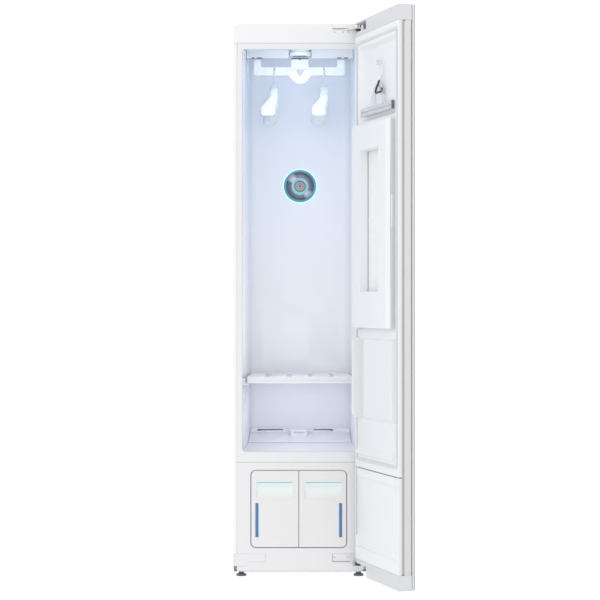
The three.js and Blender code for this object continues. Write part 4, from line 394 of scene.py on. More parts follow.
def rubber(name, colour):
    """Soft rubber: matt, slightly mottled, dusty in its grain."""
    f = Finish(name)
    grain = f.noise(900, 3, 0.6)
    dust = f.noise(45, 4, 0.65).above(0.45, 0.8)
    dusty = tuple(min(1, c * 1.25 + 0.02) for c in colour)
    return f.surface(
        Base_Color=f.mix(dust * 0.35, colour, dusty),
        Roughness=0.62 + grain * 0.12 + dust * 0.08,
        Normal=f.bump(grain, 0.00009, 0.7),
    )


def foamed(name):
    """Poured insulation foam: open cells and pale yellow tone."""
    f = Finish(name)
    cell = f.cells(420, out="Distance")
    return f.surface(
        Base_Color=f.mix(cell, (0.88, 0.83, 0.66), (0.70, 0.62, 0.42)),
        Roughness=0.8 + cell * 0.15,
        Normal=f.bump(cell, 0.0006, 0.8),
    )


def finned(name, colour, pitch):
    """Thin metal fins packed along x, with painted shade darkening the gaps between them."""
    f = Finish(name)
    wave = (f.axis("X") * (2 * math.pi / pitch)).sine()
    gap_shade = wave.above(0.1, 0.9)
    cloud = f.noise(40, 3)
    return f.surface(
        Base_Color=f.mix(gap_shade * 0.8 + cloud * 0.2, tuple(c * 0.45 for c in colour), colour),
        Metallic=0.8,
        Roughness=0.35 + cloud * 0.15,
        Normal=f.bump(gap_shade, 0.0005, 0.8),
    )


def clear_moulding(name):
    """Clear rigid plastic, faintly blue, with moulding waves."""
    f = Finish(name)
    wave = f.noise(40, 2, distortion=2)
    return f.surface(
        Base_Color=f.tint((0.95, 0.96, 0.965), 0.01, 30),
        Roughness=0.04 + wave * 0.05,
        Transmission_Weight=0.93,
        IOR=1.46,
        Normal=f.bump(wave, 0.0002, 0.3),
    )


def trim_metal(name):
    """Satin anodised trim of the door's edge: lighter face, darker band towards the inside."""
    f = Finish(name)
    inner = 1 - f.from_hinge(DOOR_OUTWARDS).above(-0.0062, -0.0054)
    lines = f.noise(1400, 3, 0.7, place=f.turned(scale=(1, 1, 0.02)))
    cloud = f.noise(22, 3)
    face = f.mix(lines * 0.5 + cloud * 0.5, (0.60, 0.60, 0.595), (0.70, 0.70, 0.695))
    return f.surface(
        Base_Color=f.mix(inner, face, (0.47, 0.47, 0.47)),
        Metallic=0.55,
        Roughness=0.34 + lines * 0.14 + cloud * 0.06,
        Normal=f.bump(lines, 0.00003, 0.5),
    )


def painted_hinge(name, bare_from):
    """A hinge plate painted white like the cabinet, its arm beyond a line left bright metal."""
    f = Finish(name)
    bare = f.axis("X").above(bare_from - 0.0004, bare_from + 0.0004)
    pin = 1 - f.about(HINGE, "X", "Y")[2].above(0.0078, 0.0086)
    lines = f.noise(600, 3, 0.7, place=f.turned(scale=(0.05, 1, 1)))
    wear = f.noise(80, 4, 0.6)
    metal = f.mix(wear, (0.52, 0.53, 0.54), (0.78, 0.79, 0.80))
    metal = f.mix(pin, metal, (0.03, 0.03, 0.035))
    return f.surface(
        Base_Color=f.mix(bare, f.tint((0.80, 0.80, 0.81), 0.01), metal),
        Metallic=bare * 0.9,
        Roughness=0.4 - bare * 0.12 + lines * 0.1,
        Normal=f.bump(lines, SPARK_DEPTH, 0.4),
    )


def back_painted_glass(name):
    """Toughened glass painted white behind: deep gloss, a faint ripple and a grey ground edge."""
    f = Finish(name)
    depth = f.from_hinge(DOOR_OUTWARDS)
    edge = 1 - depth.above(0.02955, 0.02985)
    ground = depth.above(0.0272, 0.0278) * edge
    wipe = f.noise(16, 4, 0.6, place=f.turned(angles=(0, 0.5, 0), scale=(1, 1, 0.3)))
    paint = f.mix(edge, f.tint((0.745, 0.75, 0.755), 0.008, 2), (0.68, 0.68, 0.68))
    return f.surface(
        Base_Color=f.mix(ground, paint, (0.17, 0.18, 0.18)),
        Roughness=0.05 + wipe * 0.06 + ground * 0.3,
        Normal=f.bump(f.noise(7, 2), 0.0004, 0.2),
        Coat_Weight=1.0,
        Coat_Roughness=0.02,
    )


# Painted shade: the sides and tops of these shells darker than their front faces
WHITE_ENAMEL = fronted("white_enamel", (0.87, 0.88, 0.875), (0.67, 0.675, 0.675), 0.33)
TOP_WHITE = fronted("top_cover_white", (0.865, 0.865, 0.88), (0.70, 0.70, 0.71), 0.3)
FRAME_WHITE = moulding("frame_white", (0.80, 0.81, 0.83))
FASCIA_WHITE = moulding("fascia_white", (0.80, 0.795, 0.81))
# Colours under the shelf, low, middle and high: painted shade under the shelf, painted blue lamp
# light high up
LINER = cavity_moulding(
    "cavity_liner", (0.75, 0.77, 0.82), (0.85, 0.86, 0.88), (0.80, 0.82, 0.87), (0.79, 0.83, 0.915)
)
SHELF_WHITE = moulding("shelf_white", (0.78, 0.79, 0.82), 0.38, COARSE_SPARK)
INLET_WHITE = moulding("inlet_white", (0.74, 0.75, 0.80), 0.38, COARSE_SPARK)
FLOOR_WHITE = moulding("cavity_floor_white", (0.71, 0.70, 0.75), 0.38, COARSE_SPARK)
CEILING = moulding("cavity_ceiling", (0.76, 0.785, 0.83), 0.36, COARSE_SPARK)
# Colours: the moulding, its free edge, and painted shade on the basin's hinge-side wall
DOOR_LINER = door_moulding(
    "door_liner", (0.845, 0.86, 0.88), (0.76, 0.76, 0.775), (0.70, 0.735, 0.735)
)
PALE = moulding("pale_moulding", (0.84, 0.86, 0.90), 0.26)
HANGER_WHITE = moulding("hanger_white", (0.84, 0.885, 0.90), 0.24, MIDDLE_SPARK)
SHOULDER_WHITE = moulding("shoulder_white", (0.77, 0.83, 0.86), 0.24, MIDDLE_SPARK)
CAP = moulding("door_cap_moulding", (0.66, 0.67, 0.70), 0.4)
SILVER = trim_metal("silver_trim")
STEEL = brushed("hinge_steel", (0.66, 0.67, 0.68), (1, 40, 40), dirt=0.08)
HINGE_UPPER = painted_hinge("upper_hinge_plate", 0.179)
HINGE_LOWER = painted_hinge("lower_hinge_plate", 0.165)
GALVANISED = galvanised("zinc_sheet")
CHROME = chromed("chromed_wire")
DISH = spun_dish("vent_dish_metal")
TEAL_RING = lit_ring("vent_ring_teal", (0.09, 0.33, 0.38), (0.10, 0.31, 0.50), 0.16)
# Painted light: the bright rim glows in place of the halo that the lit ring throws on the wall
TEAL_HALO = lit("vent_halo", (0.55, 0.92, 0.98), (0.45, 0.88, 1.0), 0.75)
TEAL_INNER = lit("vent_inner_teal", (0.24, 0.55, 0.58), (0.22, 0.58, 0.62), 0.2)
GRILLE = moulding("vent_core_grey", (0.15, 0.17, 0.17), 0.4)
RIBS = moulding("vent_core_ribs", (0.62, 0.585, 0.60))
# Painted shadow: dark strips in the bar's guide slots and round its neck
SHADOW_GREY = moulding("slot_shadow_dark", (0.075, 0.08, 0.115), 0.45)
# Painted shade: the mauve plate in the hanger bar's shield recess
RECESS_SHADE = moulding("recess_shade_mauve", (0.60, 0.56, 0.64), 0.35)
# Painted shade: grey of the shaded free side of the press cover
COVER_SIDE_SHADE = moulding("painted_cover_side_shade", (0.66, 0.65, 0.67), 0.38)
DARK_STEEL = brushed("dark_steel", (0.12, 0.125, 0.135), (1, 1, 30), 0.3)
SCREW = chromed("screw_zinc", (0.55, 0.56, 0.57))
LAMP = lit("lamp_diffuser", (0.85, 0.93, 1.0), (0.72, 0.86, 1.0), 3.5)
GRIP_LIGHT = lit("grip_light", (0.22, 0.42, 0.45), (0.24, 0.50, 0.54), 0.42)
WINDOW_BLUE = lit("level_window_blue", (0.06, 0.165, 0.36), (0.05, 0.16, 0.36), 0.28, 0.12)
TANK_WHITE = tank_front("tank_front_white", (0.80, 0.795, 0.795))
TANK_CLEAR = moulding("tank_body_frosted", (0.70, 0.76, 0.82), 0.35)
# Dark grey moulding, made dark so the gaps round the tanks read as shadow: partly painted shade
BAY_GREY = moulding("tank_bay_grey", (0.30, 0.31, 0.33), 0.45)
GREY = moulding("grey_plastic", (0.50, 0.53, 0.57), 0.36)
JAW_GREY = moulding("jaw_grey", (0.60, 0.62, 0.665))
BLACK = moulding("black_plastic", (0.028, 0.028, 0.031), 0.34, drift=0.15)
FOOT_GREY = moulding("foot_grey", (0.12, 0.125, 0.13), 0.5, drift=0.1)
CLEAR = clear_moulding("clear_plastic")
GLASS = back_painted_glass("door_glass_white")
GASKET = rubber("gasket_grey", (0.70, 0.72, 0.74))
# Painted shadow: dark strips in the gaps round the hinge plates, with a rubber's finish
HINGE_GAP_SHADE = rubber("hinge_gap_shadow", (0.30, 0.31, 0.32))
# Dark rubber of the trim's end plugs and the jaw's end, and painted shadow in the gaps round the
# tank fronts
RUBBER_AND_GAP_SHADE = rubber("rubber_and_gap_shadow", (0.16, 0.165, 0.17))
FOAM = foamed("insulation_foam")
FINS = finned("exchanger_fins", (0.70, 0.66, 0.60), 0.0032)
PAD = rubber("pressing_pad", (0.84, 0.86, 0.86))
COMPRESSOR = moulding("compressor_black", (0.03, 0.03, 0.033), 0.42, 500, drift=0.2)
STEAM = brushed("steam_vessel", (0.62, 0.63, 0.64), (40, 40, 1), 0.33)


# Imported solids


# Each solid's finish, and the radius that its mould or folded sheet leaves on the edges, in mm
PACKED = {
    "base_pan": (GALVANISED, 0),
    "foot_front_left": (FOOT_GREY, 0.4),
    "foot_front_right": (FOOT_GREY, 0.4),
    "side_panel_left": (WHITE_ENAMEL, 1.0),
    "side_panel_right": (WHITE_ENAMEL, 1.0),
    "rear_panel": (GALVANISED, 0),
    "top_cover": (TOP_WHITE, 0.8),
    "header_fascia": (TOP_WHITE, 0.8),
    "front_frame": (FRAME_WHITE, 1.0),
    "lower_fascia": (FASCIA_WHITE, 0.8),
    "hinge_blank_cover": (FASCIA_WHITE, 0.5),
    "cavity_liner": (LINER, 0),
    "cavity_floor": (FLOOR_WHITE, 0),
    "cavity_ceiling": (CEILING, 0.8),
    "air_inlet_cover": (INLET_WHITE, 0.8),
    "vent_light_ring": (TEAL_RING, 0),
    "vent_dish": (DISH, 0),
    "vent_grille": (GRILLE, 0),
    "rear_air_duct": (PALE, 0),
    "lamp_lens": (LAMP, 0),
    "drive_flange": (HANGER_WHITE, 0.8),
    "drive_motor": (GALVANISED, 0),
    "drive_crank": (STEEL, 0),
    "hanger_bar": (HANGER_WHITE, 0.7),
    "coat_hanger_left": (HANGER_WHITE, 0),
    "coat_hanger_right": (HANGER_WHITE, 0),
    "coat_hook_left": (CHROME, 0),
    "coat_hook_right": (CHROME, 0),
    "shelf": (SHELF_WHITE, 0.8),
    "tank_bay": (BAY_GREY, 0),
    "supply_tank_front": (TANK_WHITE, 0.8),
    "supply_tank_body": (TANK_CLEAR, 0),
    "supply_tank_window": (WINDOW_BLUE, 0.5),
    "drain_tank_front": (TANK_WHITE, 0.8),
    "drain_tank_body": (TANK_CLEAR, 0),
    "drain_tank_window": (WINDOW_BLUE, 0.5),
    "hinge_bracket_upper": (HINGE_UPPER, 0.4),
    "hinge_bracket_lower": (HINGE_LOWER, 0.4),
    "compressor": (COMPRESSOR, 0),
    "heat_exchanger": (FINS, 0),
    "steam_generator": (STEAM, 0),
    "blower_housing": (GREY, 0),
    "blower_impeller": (BLACK, 0),
    "door_front_panel": (GLASS, 0.4),
    "door_trim_free": (SILVER, 0.3),
    "door_trim_hinge": (SILVER, 0.3),
    "door_cap_top": (CAP, 0.6),
    "door_cap_bottom": (CAP, 0.6),
    "door_core": (FOAM, 0),
    "door_liner_upper": (DOOR_LINER, 0.8),
    "door_liner_lower": (DOOR_LINER, 0.8),
    "door_gasket": (GASKET, 0),
    "press_tray": (DOOR_LINER, 0.6),
    "press_cover": (DOOR_LINER, 1.0),
    "press_latch": (DOOR_LINER, 0.4),
    "trouser_hook": (CHROME, 0),
    "trouser_body": (CLEAR, 0),
    "trouser_jaw_front": (JAW_GREY, 1.2),
    "trouser_jaw_rear": (JAW_GREY, 1.2),
    "trouser_lever": (BLACK, 0),
}

# Solids whose flat faces come as many slivers, and are made whole before their edges are rounded
SLIVERED = ("supply_tank_front", "drain_tank_front")
SLIVER_ANGLE = math.radians(0.4)
ROUNDED_ANGLE = math.radians(40)
SMOOTH_ANGLE = math.radians(32)
MERGE_DISTANCE = 0.000004


def soft_shading():
    """A node group that merges a solid's loose triangles, smooth over soft edges, sharp at hard."""
    group = bpy.data.node_groups.new("soft_shading", "GeometryNodeTree")
    for side in ("INPUT", "OUTPUT"):
        group.interface.new_socket("Geometry", in_out=side, socket_type="NodeSocketGeometry")
    make, link = group.nodes.new, group.links.new
    start, end = make("NodeGroupInput"), make("NodeGroupOutput")
    merge = make("GeometryNodeMergeByDistance")
    merge.inputs["Distance"].default_value = MERGE_DISTANCE
    faces = make("GeometryNodeSetShadeSmooth")
    edges = make("GeometryNodeSetShadeSmooth")
    edges.domain = "EDGE"
    edges.inputs["Shade Smooth"].default_value = False
    angle = make("GeometryNodeInputMeshEdgeAngle")
    hard = make("FunctionNodeCompare")
    hard.inputs[1].default_value = SMOOTH_ANGLE
    link(start.outputs[0], merge.inputs["Geometry"])
    link(merge.outputs[0], faces.inputs["Geometry"])
    link(faces.outputs[0], edges.inputs["Geometry"])
    link(angle.outputs["Unsigned Angle"], hard.inputs[0])
    link(hard.outputs[0], edges.inputs["Selection"])
    link(edges.outputs[0], end.inputs[0])
    return group


SOFT_SHADING = soft_shading()


def dress(piece, finish):
    piece.data.materials.clear()
    piece.data.materials.append(finish)


def round_edges(piece, radius):
    if piece.name in SLIVERED:
        planes = piece.modifiers.new("whole_faces", "DECIMATE")
        planes.decimate_type = "DISSOLVE"
        planes.angle_limit = SLIVER_ANGLE
    bevel = piece.modifiers.new("edge_radius", "BEVEL")
    bevel.width = radius * MM
    bevel.segments = 2
    bevel.limit_method = "ANGLE"
    bevel.angle_limit = ROUNDED_ANGLE
    bevel.use_clamp_overlap = False
    flat = piece.modifiers.new("flat_faces", "WEIGHTED_NORMAL")
    flat.keep_sharp = True


for name, (finish, radius) in PACKED.items():
    dress(NODES[name], finish)
    NODES[name].modifiers.new("soft_shading", "NODES").node_group = SOFT_SHADING
    if radius:
        round_edges(NODES[name], radius)


# Making of the fine pieces


# Distance at which two corners of a form are one, in metres
DOUBLE = 1e-7


def at(x, y, z):
    """A point from its place in millimetres."""
    return Vector((x, y, z)) * MM


def on_door(across, inwards, height):
    """A point of the shut door from its distances: to the hinge axis, inwards, up."""
    return at(-across, inwards, height)


def picked(made, kind):
    """The corners, edges or faces among what an operator made."""
    return [part for part in made if isinstance(part, kind)]


def open_edges(made):
    return [edge for edge in picked(made, BMEdge) if edge.is_boundary]


def piece_from(name, data, finish, body):
    """Dresses a mesh or a curve as a piece that rides on a body."""
    piece = bpy.data.objects.new(name, data)
    bpy.context.scene.collection.objects.link(piece)
    dress(piece, finish)
    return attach(piece, body)


def solid(name, form, finish, body, hard=35):
    """Makes a piece of a form, its edges of hard degrees and more left sharp."""
    bmesh.ops.remove_doubles(form, verts=form.verts, dist=DOUBLE)
    if body in ON_DOOR:
        bmesh.ops.transform(form, matrix=DOOR, verts=form.verts)
    bmesh.ops.recalc_face_normals(form, faces=form.faces)
    for face in form.faces:
        face.smooth = True
    for edge in form.edges:
        edge.smooth = len(edge.link_faces) == 2 and edge.calc_face_angle(0) < math.radians(hard)
    mesh = bpy.data.meshes.new(name)
    form.to_mesh(mesh)
    form.free()
    return piece_from(name, mesh, finish, body)


def revolve(form, profile, centre, axis, steps):
    """Spins a profile of (radius, distance along the axis) that starts and ends on the axis or
    closes on itself."""
    axis = Vector(axis).normalized()
    out = axis.orthogonal().normalized()
    rim = [form.verts.new(Vector(centre) + (out * r + axis * h) * MM) for r, h in profile]
    line = [form.edges.new(pair) for pair in zip(rim, rim[1:])]
    bmesh.ops.spin(
        form,
        geom=rim + line,
        cent=centre,
        axis=axis,
        angle=2 * math.pi,
        steps=steps,
        use_merge=True,
    )
    bmesh.ops.remove_doubles(form, verts=form.verts, dist=DOUBLE)


def round_off(form, verts, radius, segments=2):
    """Rounds every edge at these corners."""
    bmesh.ops.bevel(
        form,
        geom=list({edge for vert in verts for edge in vert.link_edges}),
        offset=radius * MM,
        affect="EDGES",
        segments=segments,
        profile=0.5,
        material=-1,
        clamp_overlap=True,
    )


def slab(form, low, high, radius, segments=2):
    """A box between two corners, its edges rounded."""
    low, high = at(*low), at(*high)
    verts = bmesh.ops.create_cube(form, size=1)["verts"]
    bmesh.ops.scale(form, vec=high - low, verts=verts)
    bmesh.ops.translate(form, vec=(low + high) / 2, verts=verts)
    round_off(form, verts, radius, segments)


def blocks(name, finish, body, slot, radius, *boxes):
    """A piece of rounded boxes, each given by two corners."""
    form = bmesh.new()
    for low, high in boxes:
        slab(form, low, high, radius)
    solid(name, form, finish, body)


def tube(name, radius, kind, bends, smooth):
    """A curve of one spline through so many points, with a round section."""
    data = bpy.data.curves.new(name, "CURVE")
    data.dimensions = "3D"
    data.bevel_depth = radius * MM
    data.bevel_resolution = smooth
    spline = data.splines.new(kind)
    points = spline.bezier_points if kind == "BEZIER" else spline.points
    points.add(bends - 1)
    return data, spline, points


def wire_piece(name, line, radius, finish, body):
    """A bent wire through points, smooth between them, with closed ends; door pieces are turned."""
    data, _, bends = tube(name, radius, "BEZIER", len(line), 6)
    data.resolution_u = 8
    data.use_fill_caps = True
    for bend, point in zip(bends, line):
        bend.co = DOOR @ point if body in ON_DOOR else point
        bend.handle_left_type = bend.handle_right_type = "AUTO"
    return piece_from(name, data, finish, body)


def bead(name, outline, radius, finish, body):
    """A thin closed bead along an outline."""
    data, spline, bends = tube(name, radius, "POLY", len(outline), 2)
    for bend, point in zip(bends, outline):
        bend.co = (*point, 1)
    spline.use_cyclic_u = True
    return piece_from(name, data, finish, body)


# Coat hangers


def coat_hanger(side, x):
    """The shoulders drop, widen and sweep aside towards round ends."""
    top, neck_half, end_half = 1654, 14.6, 24
    neck_tall, end_tall, sweep, reach = 22, 15, 19, 184
    drop_most, drop_power = 91, 1.4
    stations, sides = 56, 36
    round_across, round_up = 0.5, 0.55
    sweep_from, sweep_length = 0.5, 0.44
    end_from, end_length = 0.94, 0.0625
    form = bmesh.new()
    ring = bmesh.ops.create_circle(form, cap_ends=True, radius=1, segments=sides)["verts"]
    for v in ring:
        across, up = v.co.x, v.co.y
        across = math.copysign(abs(across) ** round_across, across)
        v.co = (across, 0, math.copysign(abs(up) ** round_up, up))

    def place(i):
        """The section's place and size at a station."""
        along = (2 * i / stations - 1) * math.pi / 2
        out = math.sin(abs(along))
        drop = out**drop_power
        t = min(1, max(0, (drop - sweep_from) / sweep_length))
        turn = t * t * (3 - 2 * t)
        end = (1 - (max(0, out - end_from) / end_length) ** 2) ** 0.5
        half = (neck_half + (end_half - neck_half) * turn) * end
        tall = (neck_tall + (end_tall - neck_tall) * turn) * end
        height = top - neck_tall - drop_most * drop
        centre = at(x - sweep * turn, BAR_Y + reach * math.sin(along), height)
        return Matrix.Translation(centre) @ Matrix.Diagonal((half * MM, 1, tall * MM, 1))

    matrix = place(0)
    bmesh.ops.transform(form, matrix=matrix, verts=ring)
    rim = list(form.edges)
    for i in range(1, stations + 1):
        made = bmesh.ops.extrude_edge_only(form, edges=rim)["geom"]
        rim = open_edges(made)
        step = place(i) @ matrix.inverted()
        bmesh.ops.transform(form, matrix=step, verts=picked(made, BMVert))
        matrix = place(i)
    bmesh.ops.holes_fill(form, edges=rim, sides=0)
    body = f"hanger_{side}"
    piece = solid(f"{body}_body", form, SHOULDER_WHITE, body, hard=50)
    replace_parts(piece, f"coat_hanger_{side}")


def coat_hook(side, x):
    """The wire from the hanger's neck, in front of the bar and over its saddle, and its collar."""
    body = f"hanger_{side}"
    ring, centre, steps, tip = 11.3, 1700, 6, 8
    line = [(0, 1643), (0, 1652), (0, 1656), (-ring / 2, 1672), (-ring, 1684), (-ring, centre)]
    for i in range(1, steps + 1):
        angle = math.pi - i * math.pi / steps
        line.append((ring * math.cos(angle), centre + ring * math.sin(angle)))
    line.append((ring, centre - tip))
    line = [at(x, BAR_Y + forward, up) for forward, up in line]
    wire = wire_piece(f"{body}_hook", line, 1.85, CHROME, body)
    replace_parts(wire, f"coat_hook_{side}")
    form = bmesh.new()
    collar = [(0, 3), (4.4, 3), (5.2, 1.2), (5.2, -0.2), (0, -0.2)]
    revolve(form, collar, at(x, BAR_Y, 1653.5), (0, 0, 1), 24)
    solid(f"{body}_collar", form, PALE, body)


for side, x in (("left", -89), ("right", 83)):
    coat_hanger(side, x)
    coat_hook(side, x)


# Round vent


def vent_ring(name, section, finish, steps):
    """A lit ring about the vent's middle, from its closed section."""
    form = bmesh.new()
    revolve(form, section + section[:1], VENT, (0, 1, 0), steps)
    solid(name, form, finish, "cabinet", hard=60)


def vent_core():
    """Pale ribs run out from the middle of the core, every second one short."""
    ribs, half, crest, root, rim = 28, 0.8, 2.9, 7.2, 18.2
    long_start, short_start = 4.2, 9.5
    form = bmesh.new()
    for i in range(ribs):
        before = set(form.verts)
        start = long_start if i % 2 else short_start
        slab(form, (start, crest, -half), (rim, root, half), 0.3, 1)
        made = [v for v in form.verts if v not in before]
        turn = Matrix.Rotation(i * 2 * math.pi / ribs, 4, "Y")
        bmesh.ops.transform(form, matrix=Matrix.Translation(VENT) @ turn, verts=made)
    solid("vent_core_ribs", form, RIBS, "cabinet")


# The bright rim glows as painted light, in place of the halo that the lit ring throws on the wall
# round it
vent_ring(
    "vent_bright_rim",
    [(58.8, -0.3), (61.2, -0.3), (61.4, -1.6), (60.4, -3.2), (58.8, -3.6)],
    TEAL_HALO,
    96,
)
vent_ring(
    "vent_inner_ring", [(20.8, 8.3), (30.2, 8.3), (30.2, 6.7), (20.8, 4.9)], TEAL_INNER, 72
)
vent_core()


# Door seal


def door_seal():
    """A foot, a folded bellows and a magnet tube, run round the liner's edge with round corners."""
    section = [
        (0, 0.3), (10, 0.3), (10, 1.0), (9.0, 1.25), (9.7, 1.6), (9.7, 2.6),
        (9.2, 3.0), (6.4, 3.0), (6.0, 2.3), (4.6, 2.3), (4.2, 3.0),
        (0.8, 3.0), (0.3, 2.6), (0.3, 1.6), (1.0, 1.25), (0, 1.0),
    ]
    hinge_side, free_side, foot, head, corner = 4, 423, 378, 1764, 18
    near, far = hinge_side + corner, free_side - corner
    bottom, top = foot + corner, head - corner
    form = bmesh.new()
    line = [on_door(hinge_side + inset, FLANGE + rise, bottom) for inset, rise in section]
    verts = [form.verts.new(point) for point in line]
    edges = [form.edges.new(pair) for pair in zip(verts, verts[1:] + verts[:1])]
    for run, turn_across, turn_height in (
        ((0, 0, top - bottom), near, top),
        ((near - far, 0, 0), far, top),
        ((0, 0, bottom - top), far, bottom),
        ((far - near, 0, 0), near, bottom),
    ):
        made = bmesh.ops.extrude_edge_only(form, edges=edges)["geom"]
        verts = picked(made, BMVert)
        bmesh.ops.translate(form, verts=verts, vec=at(*run))
        spun = bmesh.ops.spin(
            form,
            geom=verts + open_edges(made),
            cent=on_door(turn_across, FLANGE, turn_height),
            axis=(0, 1, 0),
            angle=-math.pi / 2,
            steps=8,
        )["geom_last"]
        edges = picked(spun, BMEdge)
    piece = solid("door_seal", form, GASKET, "door", hard=50)
    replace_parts(piece, "door_gasket")


door_seal()


# Moving bar: a mauve plate in its shield's recess, painted as the recess's shade


def recess_shade_plate():
    """A thin plate with three rounded corners, its point down."""
    near, far = -34.6, -33.6
    outline = ((-14.2, 1703.2), (14.2, 1703.2), (0, 1682.8))
    form = bmesh.new()
    corners = [form.verts.new(at(x, near, z)) for x, z in outline]
    face = form.faces.new(corners)
    made = bmesh.ops.extrude_face_region(form, geom=[face])["geom"]
    back = picked(made, BMVert)
    bmesh.ops.translate(form, verts=back, vec=at(0, far - near, 0))
    round_off(form, corners + back, 0.5)
    solid("bar_shield_recess_shade", form, RECESS_SHADE, "moving_bar")


recess_shade_plate()


# Screws


def screws(name, places, y, facing, radius):
    """Pan heads at places in x and z, facing along y."""
    steps = 20
    head = [(0, 1.5), (0.35, 1.5), (0.72, 1.15), (1, 0.35), (1, -0.3), (0, -0.3)]
    head = [(share * radius, height) for share, height in head]
    form = bmesh.new()
    for x, z in places:
        revolve(form, head, at(x, y, z), (0, facing, 0), steps)
    solid(name, form, SCREW, "cabinet", hard=60)


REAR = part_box("rear_panel")[1][1]
HINGE_SCREWS = ((116, 48.5), (158.9, 48.5), (115.4, 1805), (143.9, 1805), (162.3, 1805))
REAR_SCREWS = [(x, z) for z in range(60, 1801, 290) for x in (-198, 198)]
screws("hinge_plate_screws", HINGE_SCREWS, FRONT / MM, -1, 2.2)
screws("rear_panel_screws", REAR_SCREWS, REAR / MM, 1, 3.2)


# Trouser hanger: clear arch and black lever


def trouser_arch():
    """A flat band up one side, over a half circle and down the other."""
    middle, outer, inner, foot, springing = 213, 60, 51.5, 1537.4, 1544
    front, rear = 21.4, 15.6
    form = bmesh.new()
    section = [(-outer, rear), (-outer, front), (-inner, front), (-inner, rear)]
    face = form.faces.new([form.verts.new(at(u - middle, v, foot)) for u, v in section])
    made = bmesh.ops.extrude_face_region(form, geom=[face])["geom"]
    bmesh.ops.translate(form, verts=picked(made, BMVert), vec=at(0, 0, springing - foot))
    swept = bmesh.ops.spin(
        form,
        geom=picked(made, BMFace),
        cent=at(-middle, 0, springing),
        axis=(0, 1, 0),
        angle=math.pi,
        steps=36,
    )["geom_last"]
    made = bmesh.ops.extrude_face_region(form, geom=picked(swept, BMFace))["geom"]
    bmesh.ops.translate(form, verts=picked(made, BMVert), vec=at(0, 0, foot - springing))
    inside = [f for f in form.faces if all(len(e.link_faces) > 2 for e in f.edges)]
    bmesh.ops.delete(form, geom=inside, context="FACES_ONLY")
    arch = solid("trouser_arch", form, CLEAR, "trouser_hanger")
    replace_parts(arch, "trouser_body")


def lever_wire(name, line, radius, finish):
    """A part of the lever along points across and up, in the lever's plane."""
    plane = 25.3
    line = [on_door(across, plane, height) for across, height in line]
    return wire_piece(name, line, radius, finish, "trouser_lever")


trouser_arch()
LEVER_ARM = [
    (246, 1612), (237, 1605), (225, 1597), (213, 1586.5),
    (208.5, 1580.5), (213, 1576.3), (234, 1575.6), (259, 1575.4),
]
LEVER_CURL = [(258, 1575.4), (270, 1575.6), (276.5, 1579.5), (270.5, 1585), (262, 1584.4)]
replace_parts(lever_wire("trouser_lever_arm", LEVER_ARM, 3.4, BLACK), "trouser_lever")
lever_wire("trouser_lever_curl", LEVER_CURL, 2.2, DARK_STEEL)


# Tanks: a dark bead round each front, painted as the shadow of the gap round it, and the light over
# each finger recess


def rounded(low, high, radii, y):
    """Points of a rectangle at a depth, each corner with its own radius, anticlockwise from low."""
    steps = 7
    corners = [
        (low[0], low[1], 180),
        (high[0], low[1], 270),
        (high[0], high[1], 0),
        (low[0], high[1], 90),
    ]
    points = []
    for (x, z, start), radius in zip(corners, radii):
        cx = x + (radius if x == low[0] else -radius)
        cz = z + (radius if z == low[1] else -radius)
        for i in range(steps):
            angle = math.radians(start + 90 * i / (steps - 1))
            points.append(at(cx + radius * math.cos(angle), y, cz + radius * math.sin(angle)))
    return points


def tank_trim(side, low, high, radii, light_low, light_high):
    """The dark bead painted as the gap's shadow, from low to high x, and the light from its own low
    to high x.
    """
    body = f"{side}_tank"
    line = rounded((low, 81.1), (high, 337.9), radii, -263.7)
    bead(f"{body}_edge_gap_shadow", line, 0.75, RUBBER_AND_GAP_SHADE, body)
    light = bmesh.new()
    slab(light, (light_low, -263.2, 296.2), (light_high, -248, 298.8), 0.9, 3)
    solid(f"{side}_grip_light", light, GRIP_LIGHT, body, hard=60)


tank_trim("supply", -163.4, -4.6, (15.5, 1.5, 1.5, 15.5), -145.5, -25.5)
tank_trim("drain", -3.4, 155.4, (1.5, 15.5, 15.5, 1.5), 18.5, 138.5)


# Pieces of rounded boxes: finish, body, slot, edge radius, boxes


# Moving bar and its guides: dark strips painted as the shadow in the slots and round the neck;
# the front frame's seam and the inlet cover's slats
blocks(
    "guide_slot_shadows", SHADOW_GREY, "cabinet", "grey_plastic", 0.6,
    ((-167.5, -40.6, 1744.3), (-157.5, -36.5, 1747.6)),
    ((-149, -40.6, 1744.3), (-130.5, -36.5, 1747.6)),
    ((128.7, -40.6, 1744.3), (143.6, -36.5, 1747.6)),
    ((153, -40.6, 1744.3), (166.8, -36.5, 1747.6)),
)
blocks(
    "bar_neck_shadow", SHADOW_GREY, "moving_bar", "grey_plastic", 0.6,
    ((-30.9, -35.4, 1742.2), (28.9, -14.7, 1746.2)),
)
blocks(
    "frame_corner_seam", GREY, "cabinet", "grey_plastic", 0.2,
    ((-209.2, -264.3, 1731), (-208.4, -263.5, 1767.4)),
)
blocks(
    "inlet_slats", INLET_WHITE, "cabinet", "liner", 0.6,
    ((-139.8, 183.2, 441.7), (-50.2, 187, 443.9)),
    ((39.2, 183.2, 441.7), (106.8, 187, 443.9)),
)

